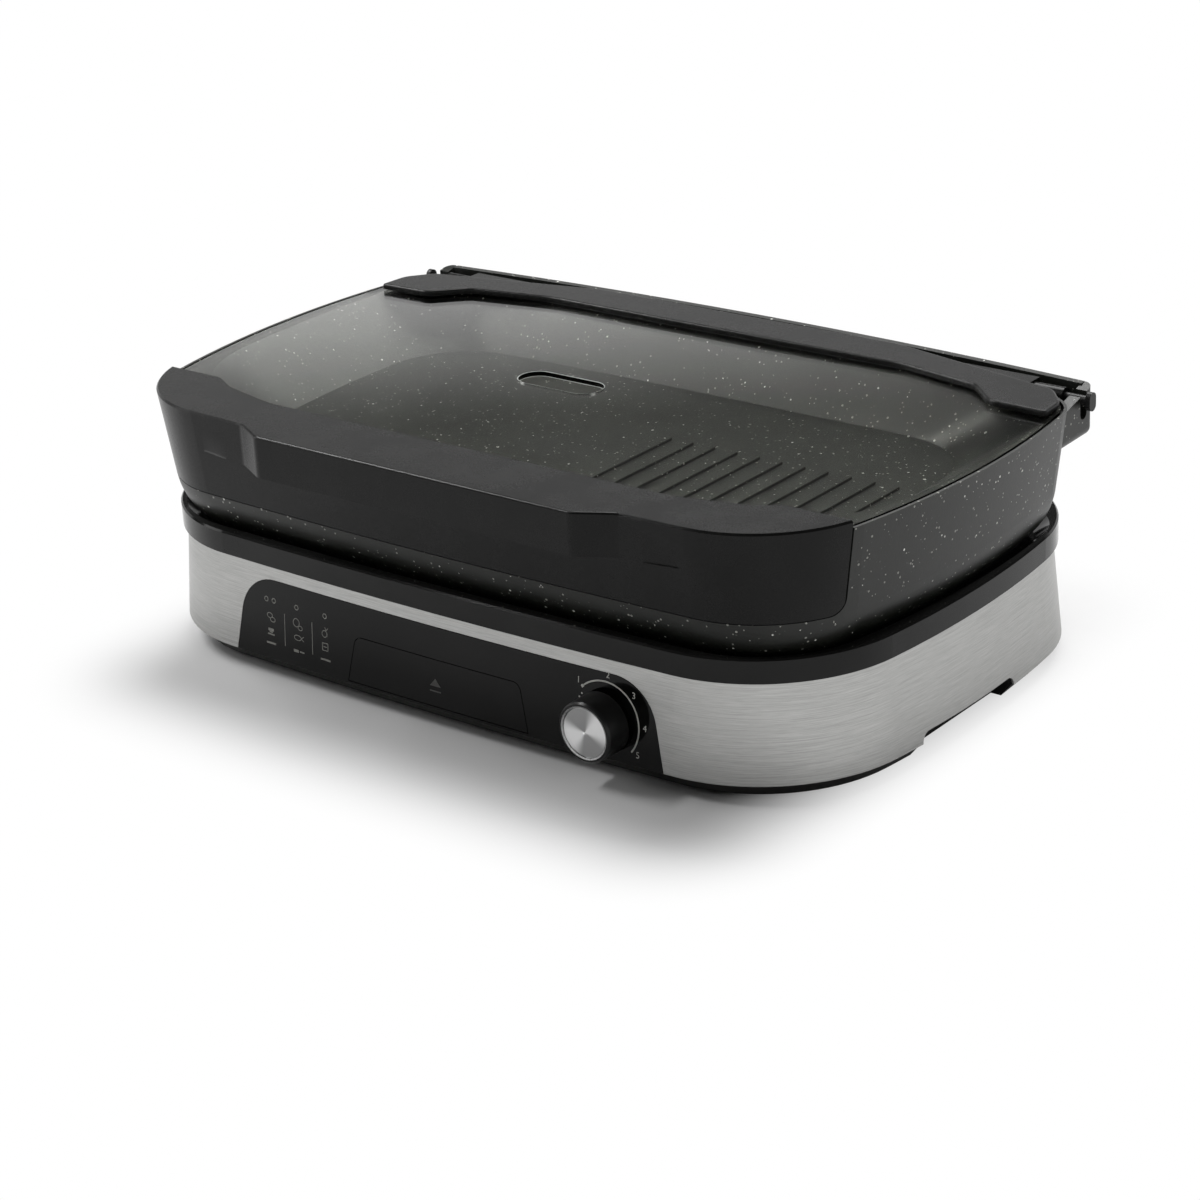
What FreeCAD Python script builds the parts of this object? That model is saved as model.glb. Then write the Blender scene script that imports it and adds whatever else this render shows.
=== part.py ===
import FreeCAD, Part
import Sketcher
import math
import os
import re

# Electric plancha: a heated base with a drip drawer, a cast grill plate and a hinged glass lid.
# Millimetres. X to the right, Y to the rear, Z up. The table is z = 0 and the base is centred on x = 0.
# Until each piece is placed, y = 0 is the middle of the base, and the places at the front count towards -Y.

SIZES = {
    # base outline, measured at the lower edge of the steel band
    "base_half_w": 255.2,
    "base_half_d": 161.7,
    "side_bow": 620,
    "end_bow": 3900,
    "base_corner": 92,
    # heights of the base
    "shell_low": 2.5,
    "steel_low": 11,
    "steel_height": 57.6,
    "steel_lean": 5.2,
    "rim_height": 13.9,
    # lower shell
    "steel_thick": 1.2,
    "shell_wall": 2.5,
    "shell_floor": 3,
    "shell_tuck": 1.5,
    "shell_slant": 7,
    "slip": 0.1,
    # hand recesses at both sides
    "recess_front": 56,
    "recess_rear": 34,
    "recess_top": 17,
    "recess_depth": 16,
    "recess_round": 6,
    # rim ring
    "rim_overhang": 3,
    "rim_slope": 12,
    "rim_land": 3.6,
    "rim_lip_drop": 7.5,
    "rim_lip_thick": 3,
    "rim_lip_width": 18,
    "rim_edge_bevel": 1,
    # control panel and drawer front, both parts of the base's front skin
    "panel_thick": 1.8,
    "panel_half_w": 156.5,
    "panel_top_half_w": 146.8,
    "panel_top": 59.6,
    "panel_corner": 28,
    "panel_gap": 0.3,
    "drawer_low": 12.3,
    "drawer_top": 40.5,
    "drawer_half_w": 66.4,
    "drawer_top_half_w": 60.2,
    "drawer_corner": 6,
    "drawer_gap": 0.5,
    # drip tray and its rails
    "tray_half_w": 56,
    "tray_depth": 182,
    "tray_low": 14,
    "tray_top": 35,
    "tray_wall": 1.8,
    "tray_corner": 8,
    "tray_front": 150,
    "rail_width": 12,
    "rail_guide": 2.5,
    "rail_guide_top": 24,
    "rail_run": 0.4,
    # knob, thermostat
    "knob_x": 118,
    "knob_z": 32,
    "knob_radius": 17.8,
    "knob_gap": 2.1,
    "knob_length": 16,
    "knob_wall": 2.4,
    "cap_radius": 14.4,
    "cap_proud": 0.6,
    "bezel_width": 0.9,
    "bezel_proud": 0.1,
    "shaft_radius": 3,
    "shaft_run": 0.06,
    "neck_radius": 5,
    "neck_front": 154,
    "thermostat_front": 146,
    "thermostat_depth": 26,
    "thermostat_half": 15,
    "boss_radius": 19,
    # reflector pan, element
    "pan_thick": 1,
    "pan_inset": 25.5,
    "pan_step": 8,
    "pan_rise": 5,
    "tube_radius": 4,
    "tube_margin_left": 91.5,
    "tube_margin_right": 73.5,
    "tube_margin_inner": 116.5,
    "tube_pitch": 50,
    "tube_drop_bend": 12,
    "tube_touch": 0.4,
    "bracket_x": 88,
    "bracket_thick": 1.5,
    "bracket_side": 10,
    "bead_radius": 6.5,
    "bead_below": 8,
    # drain from the plate to the drawer
    "drain_y": 88,
    "drain_radius": 4.5,
    "spout_wall": 1.6,
    "spout_low": 84,
    "funnel_top_radius": 13,
    "funnel_radius": 7,
    "funnel_wall": 1.2,
    "funnel_low": 42,
    "funnel_flange": 18,
    # grill plate
    "plate_margin_w": 3.7,
    "plate_margin_front": 5.7,
    "plate_margin_rear": 36.2,
    "plate_bow": 600,
    "plate_end_bow": 4400,
    "plate_mid": 20,
    "plate_corner": 72,
    "plate_rear_corner": 45,
    "plate_top": 150.2,
    "seat_top": 146,
    "flare": 5.5,
    "flare_bow": 520,
    "flare_mid": 8,
    "flare_corner": 75,
    "flare_rear_corner": 33,
    "flare_lip": 1.8,
    "plate_low": 67,
    "plate_round": 40,
    "wall_foot": 107,
    "skirt_low": 75.3,
    "skirt_inset": 29,
    "skirt_knee": 92,
    "skirt_knee_inset": 14.5,
    "skirt_top_inset": 6.5,
    "pan_floor_top": 116.5,
    "pan_floor_thick": 5,
    "cavity_margin_w": 4,
    "cavity_margin_front": 24,
    "cavity_margin_rear": 5,
    "cavity_corner": 95,
    "cavity_rear_corner": 40,
    "floor_margin_w": 49.5,
    "floor_margin_front": 55,
    "floor_margin_rear": 30.5,
    "floor_corner": 50,
    "pan_wall": 4,
    "notch_rear": 105,
    "notch_low": 101.7,
    "notch_round": 9,
    "front_rim_top": 141,
    "ledge_thick": 4,
    "rib_first_x": 34.3,
    "rib_pitch": 15.6,
    "rib_count": 11,
    "rib_width": 7,
    "rib_height": 1.6,
    "rib_rear": 19,
    "rib_front": 92,
    # hinge ears, rod
    "ear_margin": 11,
    "ear_thick": 7,
    "ear_front": 104,
    "ear_low": 122,
    "ear_round": 4,
    "ear_corner": 6,
    "rod_behind": 5.8,
    "rod_z": 145.4,
    "rod_radius": 2.9,
    "slot_width": 7,
    "slot_low": 134,
    "bar_behind": 18.2,
    "bar_bow": 10.7,
    "bar_thick": 4.5,
    "bar_low": 134,
    "bar_top": 152,
    "tab_beyond": 6,
    "tab_thick": 3,
    "tab_width": 7,
    "tab_height": 11,
    # lid
    "lid_top": 154.5,
    "glass_low": 146.4,
    "glass_thick": 3.8,
    "glass_inset": 3.5,
    "glass_front_inset": 4,
    "glass_front": 150,
    "glass_margin_rear": 5,
    "vent_x": -29,
    "vent_y": -2,
    "vent_length": 59,
    "vent_width": 23,
    "seal_thick": 1,
    "frame_wall": 3,
    "frame_low": 102.2,
    "frame_inner": 125,
    "frame_turn_x": 146,
    "frame_turn_round": 80,
    "frame_slope_x": 186,
    "frame_slope_in": 9.5,
    "frame_slope_round": 20,
    "frame_step_x": 203,
    "frame_step_in": 19,
    "frame_step_round": 14,
    "frame_edge_round": 1.5,
    "frame_edge_bevel": 1.2,
    "frame_gap": 0.5,
    "handle_half_w": 113,
    "handle_foot": 134,
    "handle_front": 171,
    "handle_low": 129.8,
    "handle_wall": 3,
    "handle_round": 9,
    "rear_frame_gap": 12,
    "rear_frame_reach": 17.5,
    "rear_frame_mid_x": 110,
    "barrel_radius": 5.5,
    "barrel_gap": 4.5,
    "barrel_web_gap": 20,
    "barrel_run": 0.05,
    # feet, screws, rear fittings
    "foot_margin_x": 77.2,
    "foot_margin_y": 41.7,
    "foot_radius": 9,
    "foot_stem": 4,
    "post_margin_x": 50.2,
    "post_margin_y": 46.7,
    "post_mid_x": 72,
    "post_margin_mid": 23.7,
    "post_radius": 5,
    "post_top": 40,
    "screw_radius": 1.7,
    "screw_head": 3.4,
    "screw_head_thick": 2.2,
    "screw_length": 30,
    "gland_x": -150,
    "gland_z": 30,
    "gland_radius": 6,
    "gland_flange": 9,
    "gland_bore": 3.8,
    "gland_proud": 4,
    "gland_clear": 1,
    "gland_inside": 5,
    "vent_slot_count": 9,
    "vent_slot_pitch": 9,
    "vent_slot_length": 34,
    "vent_slot_width": 3.5,
    "block_length": 38,
    "block_width": 16,
    "block_height": 14,
    "block_x": -110,
    "block_y": 50,
}

# Places and widths that follow from the sizes
PLACES = {
    "plate_half_w": "base_half_w - plate_margin_w",
    "plate_front": "base_half_d - plate_margin_front",
    "plate_rear": "base_half_d - plate_margin_rear",
    "cavity_half_w": "plate_half_w - cavity_margin_w",
    "cavity_front": "plate_front - cavity_margin_front",
    "cavity_rear": "plate_rear - cavity_margin_rear",
    "floor_half_w": "plate_half_w - floor_margin_w",
    "floor_front": "plate_front - floor_margin_front",
    "floor_rear": "plate_rear - floor_margin_rear",
    "ear_outer": "plate_half_w - ear_margin",
    "rod_y": "plate_rear + rod_behind",
    "bar_mid": "rod_y + bar_behind",
    "bar_end": "bar_mid - bar_bow",
    "ear_rear": "bar_end + bar_thick",
    "tab_outer": "ear_outer + tab_beyond",
    "barrel_half_w": "ear_outer - ear_thick - barrel_gap",
    "glass_rear": "plate_rear - glass_margin_rear",
    "frame_step": "frame_inner - frame_step_in",
    "frame_slope": "frame_inner - frame_slope_in",
    "rear_frame_front": "plate_rear - rear_frame_gap",
    "rear_frame_rear": "plate_rear + rear_frame_reach",
    "foot_x": "base_half_w - foot_margin_x",
    "foot_y": "base_half_d - foot_margin_y",
    "post_x": "base_half_w - post_margin_x",
    "post_y": "base_half_d - post_margin_y",
    "post_mid_y": "base_half_d - post_margin_mid",
    "tube_left": "tube_margin_left - plate_half_w",
    "tube_right": "plate_half_w - tube_margin_right",
    "tube_inner_right": "plate_half_w - tube_margin_inner",
}

doc = FreeCAD.newDocument("plancha")
sheet = doc.addObject("Spreadsheet::Sheet", "Sizes")
for row, (word, size) in enumerate(SIZES.items(), start=1):
    sheet.set(f"A{row}", str(size))
    sheet.setAlias(f"A{row}", word)
doc.recompute()

UP = FreeCAD.Vector(0, 0, 1)
nodes = []


def bound(expression):
    """The expression with each size's name pointing at its cell, and each place worked out from the sizes."""

    def swap(found):
        word = found[0]
        if word in SIZES:
            return "Sizes." + word
        if word in PLACES:
            return f"({bound(PLACES[word])})"
        return word

    return re.sub(r"[a-z_]+", swap, expression)


def number(expression):
    """The expression's value now."""
    worth = sheet.evalExpression(bound(expression))
    return float(getattr(worth, "Value", worth))


def bind(thing, field, expression):
    thing.setExpression(field, bound(expression))


def part(kind, name, **fields):
    """A Part primitive or boolean; a text gives a field an expression, anything else its value."""
    thing = doc.addObject("Part::" + kind, name)
    for field, worth in fields.items():
        if isinstance(worth, str):
            bind(thing, field, worth)
        else:
            setattr(thing, field, worth)
    return thing


def placed(thing, x="0", y="0", z="0"):
    for axis, worth in zip("xyz", (x, y, z)):
        bind(thing, ".Placement.Base." + axis, worth)
    return thing


def box(name, low, high):
    """A box between two corners, each given as three expressions."""
    spans = [f"({b}) - ({a})" for a, b in zip(low, high)]
    return placed(part("Box", name, Length=spans[0], Width=spans[1], Height=spans[2]), *low)


def post(name, radius, low, high, x="0", y="0"):
    """An upright cylinder."""
    return placed(part("Cylinder", name, Radius=radius, Height=f"({high}) - ({low})"), x, y, low)


def lying(name, radius, rear, front, x, z):
    """A cylinder along Y, from its rear end to its front end, both counted towards -Y."""
    rod = part("Cylinder", name, Radius=radius, Height=f"({front}) - ({rear})")
    rod.Placement.Rotation = FreeCAD.Rotation(FreeCAD.Vector(1, 0, 0), 90)
    return placed(rod, x, f"-({rear})", z)


def cut(name, base, *tools):
    tool = tools[0] if len(tools) == 1 else fuse(name + "_tools", *tools)
    return part("Cut", name, Base=base, Tool=tool)


def fuse(name, *pieces):
    return part("MultiFuse", name, Shapes=list(pieces))


def common(name, *pieces):
    return part("MultiCommon", name, Shapes=list(pieces))


def mirrored(name, source):
    """The same form on the other side of x = 0."""
    return part("Mirroring", name, Source=source, Normal=FreeCAD.Vector(1, 0, 0))


def new_body(name):
    return doc.addObject("PartDesign::Body", name)


def sketch_on(body, role, offset="0"):
    """An empty sketch on one of the body's origin planes, moved along the plane's normal."""
    sketch = body.newObject("Sketcher::SketchObject", body.Name + "_sketch")
    sketch.AttachmentSupport = [(next(f for f in body.Origin.OriginFeatures if f.Role == role), "")]
    sketch.MapMode = "FlatFace"
    bind(sketch, ".AttachmentOffset.Base.z", offset)
    return sketch


def constrain(sketch, *terms, to=None):
    index = sketch.addConstraint(Sketcher.Constraint(*terms))
    if to is not None:
        bind(sketch, f"Constraints[{index}]", to)


def pin(sketch, item, end, x, y):
    """Holds a point of the sketch at two expressions."""
    for kind, axis, worth in (("DistanceX", -2, x), ("DistanceY", -1, y)):
        if worth == "0":
            constrain(sketch, "PointOnObject", item, end, axis)
        else:
            constrain(sketch, kind, item, end, number(worth), to=worth)


def draw_polygon(sketch, corners):
    """Straight lines through corners given as pairs of expressions."""
    points = [FreeCAD.Vector(number(x), number(y), 0) for x, y in corners]
    lines = []
    for start, end in zip(points, points[1:] + points[:1]):
        lines.append(sketch.addGeometry(Part.LineSegment(start, end), False))
    for line, following, (x, y) in zip(lines, lines[1:] + lines[:1], corners):
        constrain(sketch, "Coincident", line, 2, following, 1)
        pin(sketch, line, 1, x, y)


def draw_circle(sketch, x, y, radius):
    centre = FreeCAD.Vector(number(x), number(y), 0)
    item = sketch.addGeometry(Part.Circle(centre, UP, number(radius)), False)
    pin(sketch, item, 3, x, y)
    constrain(sketch, "Radius", item, number(radius), to=radius)


def corner_centre(first, second, corner, towards):
    """Centre of the arc that rounds the corner between two larger arcs, each a centre and a radius."""
    (centre, radius), (other, other_radius) = first, second
    reach = radius - corner
    other_reach = other_radius - corner
    gap = other - centre
    along = (reach**2 - other_reach**2 + gap.Length**2) / (2 * gap.Length)
    aside = math.sqrt(reach**2 - along**2)
    ahead = FreeCAD.Vector(gap).normalize()
    left = FreeCAD.Vector(-ahead.y, ahead.x, 0)
    both = [centre + ahead * along + left * aside, centre + ahead * along - left * aside]
    return max(both, key=lambda point: point.dot(towards))


def draw_arc(sketch, centre, radius, start, end):
    first = math.atan2(start.y - centre.y, start.x - centre.x)
    last = math.atan2(end.y - centre.y, end.x - centre.x)
    if last < first:
        last += 2 * math.pi
    return sketch.addGeometry(Part.ArcOfCircle(Part.Circle(centre, UP, radius), first, last), False)


def draw_bowed(sketch, half_w, front, rear, side_bow, end_bow, corner, rear_corner=None, middle="0"):
    """A rectangle with four slightly bowed sides and four round corners, counter-clockwise from the right."""
    rear_corner = rear_corner or corner
    centres_x = [f"({half_w}) - ({side_bow})", "0", f"({side_bow}) - ({half_w})", "0"]
    centres_y = [middle, f"({rear}) - ({end_bow})", middle, f"({end_bow}) - ({front})"]
    bows = [side_bow, end_bow, side_bow, end_bow]
    rounds = [rear_corner, rear_corner, corner, corner]
    sides = []
    for x, y, bow in zip(centres_x, centres_y, bows):
        sides.append((FreeCAD.Vector(number(x), number(y), 0), number(bow)))
    towards = [FreeCAD.Vector(x, y, 0) for x, y in ((1, 1), (-1, 1), (-1, -1), (1, -1))]
    turns = []
    for index in range(4):
        following = sides[(index + 1) % 4]
        turns.append(corner_centre(sides[index], following, number(rounds[index]), towards[index]))
    items = []
    for index, (centre, radius) in enumerate(sides):
        start = centre + (turns[index - 1] - centre).normalize() * radius
        end = centre + (turns[index] - centre).normalize() * radius
        items.append(draw_arc(sketch, centre, radius, start, end))
        following, following_radius = sides[(index + 1) % 4]
        leave = following + (turns[index] - following).normalize() * following_radius
        items.append(draw_arc(sketch, turns[index], number(rounds[index]), end, leave))
    for item, following in zip(items, items[1:] + items[:1]):
        constrain(sketch, "Tangent", item, 2, following, 1)
    for index in range(4):
        pin(sketch, items[2 * index], 3, centres_x[index], centres_y[index])
        constrain(sketch, "Radius", items[2 * index], number(bows[index]), to=bows[index])
        constrain(sketch, "Radius", items[2 * index + 1], number(rounds[index]), to=rounds[index])


def pad(body, sketch, length, taper=None, backwards=False):
    feature = body.newObject("PartDesign::Pad", body.Name + "_pad")
    feature.Profile = sketch
    feature.Reversed = backwards
    bind(feature, "Length", length)
    if taper:
        bind(feature, "TaperAngle", taper)
    return feature


def pocket(body, sketch, length, taper=None, backwards=False):
    """Cuts against the sketch's normal, or along it when backwards."""
    doc.recompute()
    before = body.Shape.Volume
    feature = body.newObject("PartDesign::Pocket", body.Name + "_pocket")
    feature.Profile = sketch
    feature.Reversed = backwards
    bind(feature, "Length", length)
    if taper:
        bind(feature, "TaperAngle", taper)
    doc.recompute()
    if body.Shape.Volume > before - 1:
        raise ValueError(f"{body.Name}: a pocket cuts nothing")
    return feature


def revolve(body, sketch):
    feature = body.newObject("PartDesign::Revolution", body.Name + "_turned")
    feature.Profile = sketch
    feature.ReferenceAxis = (sketch, ["V_Axis"])
    feature.Angle = 360
    return feature


def edges(thing, keep):
    """Names of the edges for which keep is true."""
    doc.recompute()
    return [f"Edge{index}" for index, edge in enumerate(thing.Shape.Edges, start=1) if keep(edge)]


def flat_at(height):
    """Picks the edges that lie level at a height."""
    worth = number(height)

    def keep(edge):
        span = edge.BoundBox
        return abs(span.ZMin - worth) < 0.01 and abs(span.ZMax - worth) < 0.01

    return keep


def round_edges(body, radius, keep):
    doc.recompute()
    base = body.Tip
    feature = body.newObject("PartDesign::Fillet", body.Name + "_round")
    feature.Base = (base, edges(base, keep))
    bind(feature, "Radius", radius)
    body.Tip = feature
    return feature


def bevel_edges(body, size, keep):
    base = body.Tip
    feature = body.newObject("PartDesign::Chamfer", body.Name + "_bevel")
    feature.Base = (base, edges(base, keep))
    bind(feature, "Size", size)
    body.Tip = feature
    return feature


def row_of(body, feature, role, count, pitch):
    """Repeats a feature along one of the body's origin axes."""
    pattern = body.newObject("PartDesign::LinearPattern", body.Name + "_row")
    pattern.Originals = [feature]
    pattern.Direction = (next(f for f in body.Origin.OriginFeatures if f.Role == role), [""])
    bind(pattern, "Occurrences", count)
    bind(pattern, "Length", f"({pitch}) * (({count}) - 1)")
    body.Tip = pattern
    return pattern


def turned(name, profile, x, y=None, z=None):
    """A body of revolution from (radius, height) pairs: upright at x and y, or facing the front at x and z."""
    body = new_body(name)
    sketch = sketch_on(body, "XZ_Plane")
    draw_polygon(sketch, profile)
    revolve(body, sketch)
    if y is not None:
        return placed(body, x, y)
    body.Placement.Rotation = FreeCAD.Rotation(FreeCAD.Vector(1, 0, 0), 90)
    return placed(body, x, "0", z)


KNOB_LEAN = "steel_lean*(knob_z - steel_low)/steel_height"
KNOB_PLANE = f"(base_half_d - {KNOB_LEAN} - knob_x^2/(2*end_bow))"
GLAND_LEAN = "steel_lean*(gland_z - steel_low)/steel_height"
GLAND_PLANE = f"(base_half_d - {GLAND_LEAN} - gland_x^2/(2*end_bow))"
KNOB_BACK = f"({KNOB_PLANE} + knob_gap)"
KNOB_FACE = f"({KNOB_BACK} + knob_length)"
CENTRE_SHIFT = f"({KNOB_FACE} + bezel_proud - base_half_d)/2"
TRAY_END = "(tray_depth - tray_front)"
RIM_LOW = "(steel_low + steel_height)"
RIM_TOP = "(steel_low + steel_height + rim_height)"
LIP_TOP = f"({RIM_TOP} - rim_lip_drop)"
PAN_TOP = f"({LIP_TOP} + pan_thick + pan_rise)"
TUBE_Z = "(pan_floor_top - pan_floor_thick - tube_touch - tube_radius)"


def node(thing, name):
    """Marks a finished piece and moves it so that y = 0 is the middle of the whole object."""
    thing.Label = name
    own = dict(thing.ExpressionEngine).get(".Placement.Base.y", "0")
    thing.setExpression(".Placement.Base.y", f"({own}) + {bound(CENTRE_SHIFT)}")
    nodes.append(thing)
    return thing


def skin(name, inset, below="0", above="0"):
    """The leaning outer form of the base, taken in by an inset and made longer at its ends."""
    body = new_body(name)
    sketch = sketch_on(body, "XY_Plane", f"steel_low - ({below})")
    grow = f"({below})*steel_lean/steel_height - ({inset})"
    draw_bowed(
        sketch,
        f"base_half_w + {grow}",
        f"base_half_d + {grow}",
        f"base_half_d + {grow}",
        f"side_bow + {grow}",
        f"end_bow + {grow}",
        f"base_corner + {grow}",
    )
    pad(body, sketch, f"steel_height + ({below}) + ({above})", "-atan(steel_lean/steel_height)")
    return body


def base_outline(sketch, inset):
    draw_bowed(
        sketch,
        f"base_half_w - ({inset})",
        f"base_half_d - ({inset})",
        f"base_half_d - ({inset})",
        f"side_bow - ({inset})",
        f"end_bow - ({inset})",
        f"base_corner - ({inset})",
    )


def plate_outline(sketch, inset):
    draw_bowed(
        sketch,
        f"plate_half_w - ({inset})",
        f"plate_front - ({inset})",
        f"plate_rear - ({inset})",
        f"plate_bow - ({inset})",
        f"plate_end_bow - ({inset})",
        f"plate_corner - ({inset})",
        f"plate_rear_corner - ({inset})",
        "plate_mid",
    )


def flare_outline(sketch, inset):
    """The plate's rim, which stands out further than its wall."""
    draw_bowed(
        sketch,
        f"plate_half_w + flare - ({inset})",
        f"plate_front + flare - ({inset})",
        f"plate_rear - ({inset})",
        f"flare_bow - ({inset})",
        f"plate_end_bow - ({inset})",
        f"flare_corner - ({inset})",
        f"flare_rear_corner - ({inset})",
        "flare_mid",
    )


def slab(name, outline, inset, low, high, taper=None):
    """A block of an outline between two heights, upright or widening upwards."""
    body = new_body(name)
    sketch = sketch_on(body, "XY_Plane", low)
    outline(sketch, inset)
    pad(body, sketch, f"({high}) - ({low})", taper)
    return body


WALL_LEAN = "flare/(plate_top - wall_foot)"


def flared(name, inset, low, high):
    """A block whose sides lie along the plate's flaring wall, taken in by an inset."""
    return slab(name, flare_outline, f"({inset}) + (plate_top - ({low}))*{WALL_LEAN}", low, high, f"atan({WALL_LEAN})")


def lip_outline(sketch, inset):
    """The outline of what lies inside the skirt's foot."""
    draw_bowed(
        sketch,
        f"plate_half_w - ({inset})",
        f"plate_front - ({inset})",
        f"plate_rear - flare - ({inset})",
        f"plate_bow - ({inset})",
        f"plate_end_bow - ({inset})",
        f"plate_corner - ({inset})",
        f"plate_rear_corner - ({inset})",
        "plate_mid",
    )


def front_block(name, low, top, half_w, top_half_w, corner, gap):
    """A block through the front skin: a trapezoid with two round upper corners, smaller all round by a gap."""
    body = new_body(name)
    sketch = sketch_on(body, "XZ_Plane", "base_half_d - 20")
    slope = f"(({half_w}) - ({top_half_w}))/(({top}) - ({low}))"
    low_w = f"({half_w}) - ({gap}) - ({gap})*{slope}"
    top_w = f"({top_half_w}) - ({gap}) + ({gap})*{slope}"
    low_z = f"({low}) + ({gap})"
    top_z = f"({top}) - ({gap})"
    draw_polygon(sketch, [(f"-({low_w})", low_z), (low_w, low_z), (top_w, top_z), (f"-({top_w})", top_z)])
    pad(body, sketch, "40")
    height = number(top_z)
    round_edges(
        body,
        f"({corner}) - ({gap})",
        lambda edge: abs(edge.BoundBox.ZMin - height) < 0.01 and edge.BoundBox.YLength > 1,
    )
    return body


def recess_tool(name):
    """The hand recess in the right side, with its two upper corners rounded."""
    body = new_body(name)
    sketch = sketch_on(body, "YZ_Plane", "base_half_w - recess_depth")
    draw_polygon(
        sketch,
        [("-recess_front", "-1"), ("recess_rear", "-1"), ("recess_rear", "recess_top"), ("-recess_front", "recess_top")],
    )
    pad(body, sketch, "recess_depth + 20")
    top = number("recess_top")
    round_edges(body, "recess_round", lambda edge: abs(edge.BoundBox.ZMin - top) < 0.01 and edge.BoundBox.XLength > 1)
    return body


def at_posts(name, radius, low, high):
    """The same upright cylinder at the six screw posts."""
    spots = [(f"{side}post_x", f"{end}post_y") for side in ("", "-") for end in ("", "-")]
    spots += [(f"{side}post_mid_x", "post_mid_y") for side in ("", "-")]
    return fuse(name, *[post(f"{name}_{i}", radius, low, high, x, y) for i, (x, y) in enumerate(spots)])


def slots_tool():
    """A row of slots that lets air into the base from below."""
    body = new_body("vent_slots")
    sketch = sketch_on(body, "XY_Plane", "shell_low - 1")
    half = "vent_slot_width/2"
    first = "-vent_slot_pitch*(vent_slot_count - 1)/2"
    draw_polygon(
        sketch,
        [
            (f"{first} - {half}", f"{TRAY_END} + 12"),
            (f"{first} + {half}", f"{TRAY_END} + 12"),
            (f"{first} + {half}", f"{TRAY_END} + 12 + vent_slot_length"),
            (f"{first} - {half}", f"{TRAY_END} + 12 + vent_slot_length"),
        ],
    )
    slot = pad(body, sketch, "shell_floor + 2")
    row_of(body, slot, "X_Axis", "vent_slot_count", "vent_slot_pitch")
    return body


# Forms that several pieces share
outer_form = skin("outer_form", "0")
steel_inside = skin("steel_inside", "steel_thick", "5", "5")
panel_inside = skin("panel_inside", "panel_thick", "20", "5")
panel_seat = skin("panel_seat", "panel_thick + slip", "20", "5")
panel_window = front_block(
    "panel_window", "steel_low - 15", "panel_top", "panel_half_w + 3", "panel_top_half_w", "panel_corner", "0"
)
panel_form = front_block(
    "panel_form", "steel_low - 15", "panel_top", "panel_half_w + 3", "panel_top_half_w", "panel_corner", "panel_gap"
)
drawer_window = front_block(
    "drawer_window", "drawer_low", "drawer_top", "drawer_half_w", "drawer_top_half_w", "drawer_corner", "0"
)
drawer_form = front_block(
    "drawer_form", "drawer_low", "drawer_top", "drawer_half_w", "drawer_top_half_w", "drawer_corner", "drawer_gap"
)
recess_right = recess_tool("recess_right")
recess_left = mirrored("recess_left", recess_right)
gland_hole = lying("gland_hole", "gland_radius + slip", "-base_half_d - 5", "-base_half_d + 15", "gland_x", "gland_z")

# Steel band
steel_ring = cut("steel_ring", outer_form, steel_inside)
steel_band = node(cut("steel_cut", steel_ring, panel_window, recess_right, recess_left, gland_hole), "steel_band")

# Control panel and drawer front are cut out of the same curved skin
panel_skin = cut("panel_skin", outer_form, panel_inside)
shaft_hole = lying("shaft_hole", "shaft_radius + 1", "100", "200", "knob_x", "knob_z")
panel_piece = common("panel_piece", panel_skin, panel_form)
control_panel = node(cut("panel_cut", panel_piece, drawer_window, shaft_hole), "control_panel")
drawer_front = node(common("drawer_piece", panel_skin, drawer_form), "drawer_front")

# Lower shell: a tucked-in foot, a wall inside the steel, posts for the screws
shell_foot = slab(
    "shell_foot", base_outline, "shell_tuck + shell_slant", "shell_low", "steel_low", "atan(shell_slant/(steel_low - shell_low))"
)
shell_upper = skin("shell_upper", "steel_thick + slip")
shell_outside = fuse("shell_outside", shell_foot, shell_upper)
shell_hollow = fuse(
    "shell_hollow",
    skin("shell_hollow_upper", "steel_thick + slip + shell_wall", "0", "5"),
    slab(
        "shell_hollow_foot",
        base_outline,
        "shell_tuck + shell_slant + shell_wall",
        "shell_low + shell_floor",
        "steel_low",
        "atan((shell_slant - steel_thick)/(steel_low - shell_low - shell_floor))",
    ),
)
shell_cup = cut("shell_cup", shell_outside, shell_hollow)
recess_block = box(
    "recess_block",
    ("base_half_w - recess_depth - shell_wall", "-recess_front - shell_wall", "shell_low"),
    ("base_half_w + 10", "recess_rear + shell_wall", "recess_top + shell_wall"),
)
recess_wall = common("recess_wall", shell_outside, recess_block)
neck_boss = lying("neck_boss", "boss_radius", "thermostat_front", "base_half_d", "knob_x", "knob_z")
boss = common("boss", neck_boss, panel_seat)
shell_posts = at_posts("shell_posts", "post_radius", "shell_low + 1", "post_top")
shell_solid = fuse("shell_solid", shell_cup, recess_wall, mirrored("recess_wall_left", recess_wall), boss, shell_posts)
panel_relief = cut("panel_relief", panel_window, panel_seat)
tray_mouth = box(
    "tray_mouth",
    ("-tray_half_w - 1", "-base_half_d - 5", "tray_low - 1"),
    ("tray_half_w + 1", "-base_half_d + 20", "tray_top + 1"),
)
neck_hole = lying("neck_hole", "neck_radius + slip", "100", "200", "knob_x", "knob_z")
screw_holes = at_posts("screw_holes", "screw_radius + slip", "0", "post_top + 5")
head_holes = at_posts("head_holes", "screw_head + 0.4", "0", "shell_low + screw_head_thick + 0.3")
shell_cut = cut(
    "shell_cut",
    shell_solid,
    panel_relief,
    tray_mouth,
    neck_hole,
    recess_right,
    recess_left,
    screw_holes,
    head_holes,
    gland_hole,
    slots_tool(),
)


def foot_spots():
    for side, sign in (("left", "-"), ("right", "")):
        for end, way in (("front", "-"), ("rear", "")):
            yield f"foot_{end}_{side}", f"{sign}foot_x", f"{way}foot_y"


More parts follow.
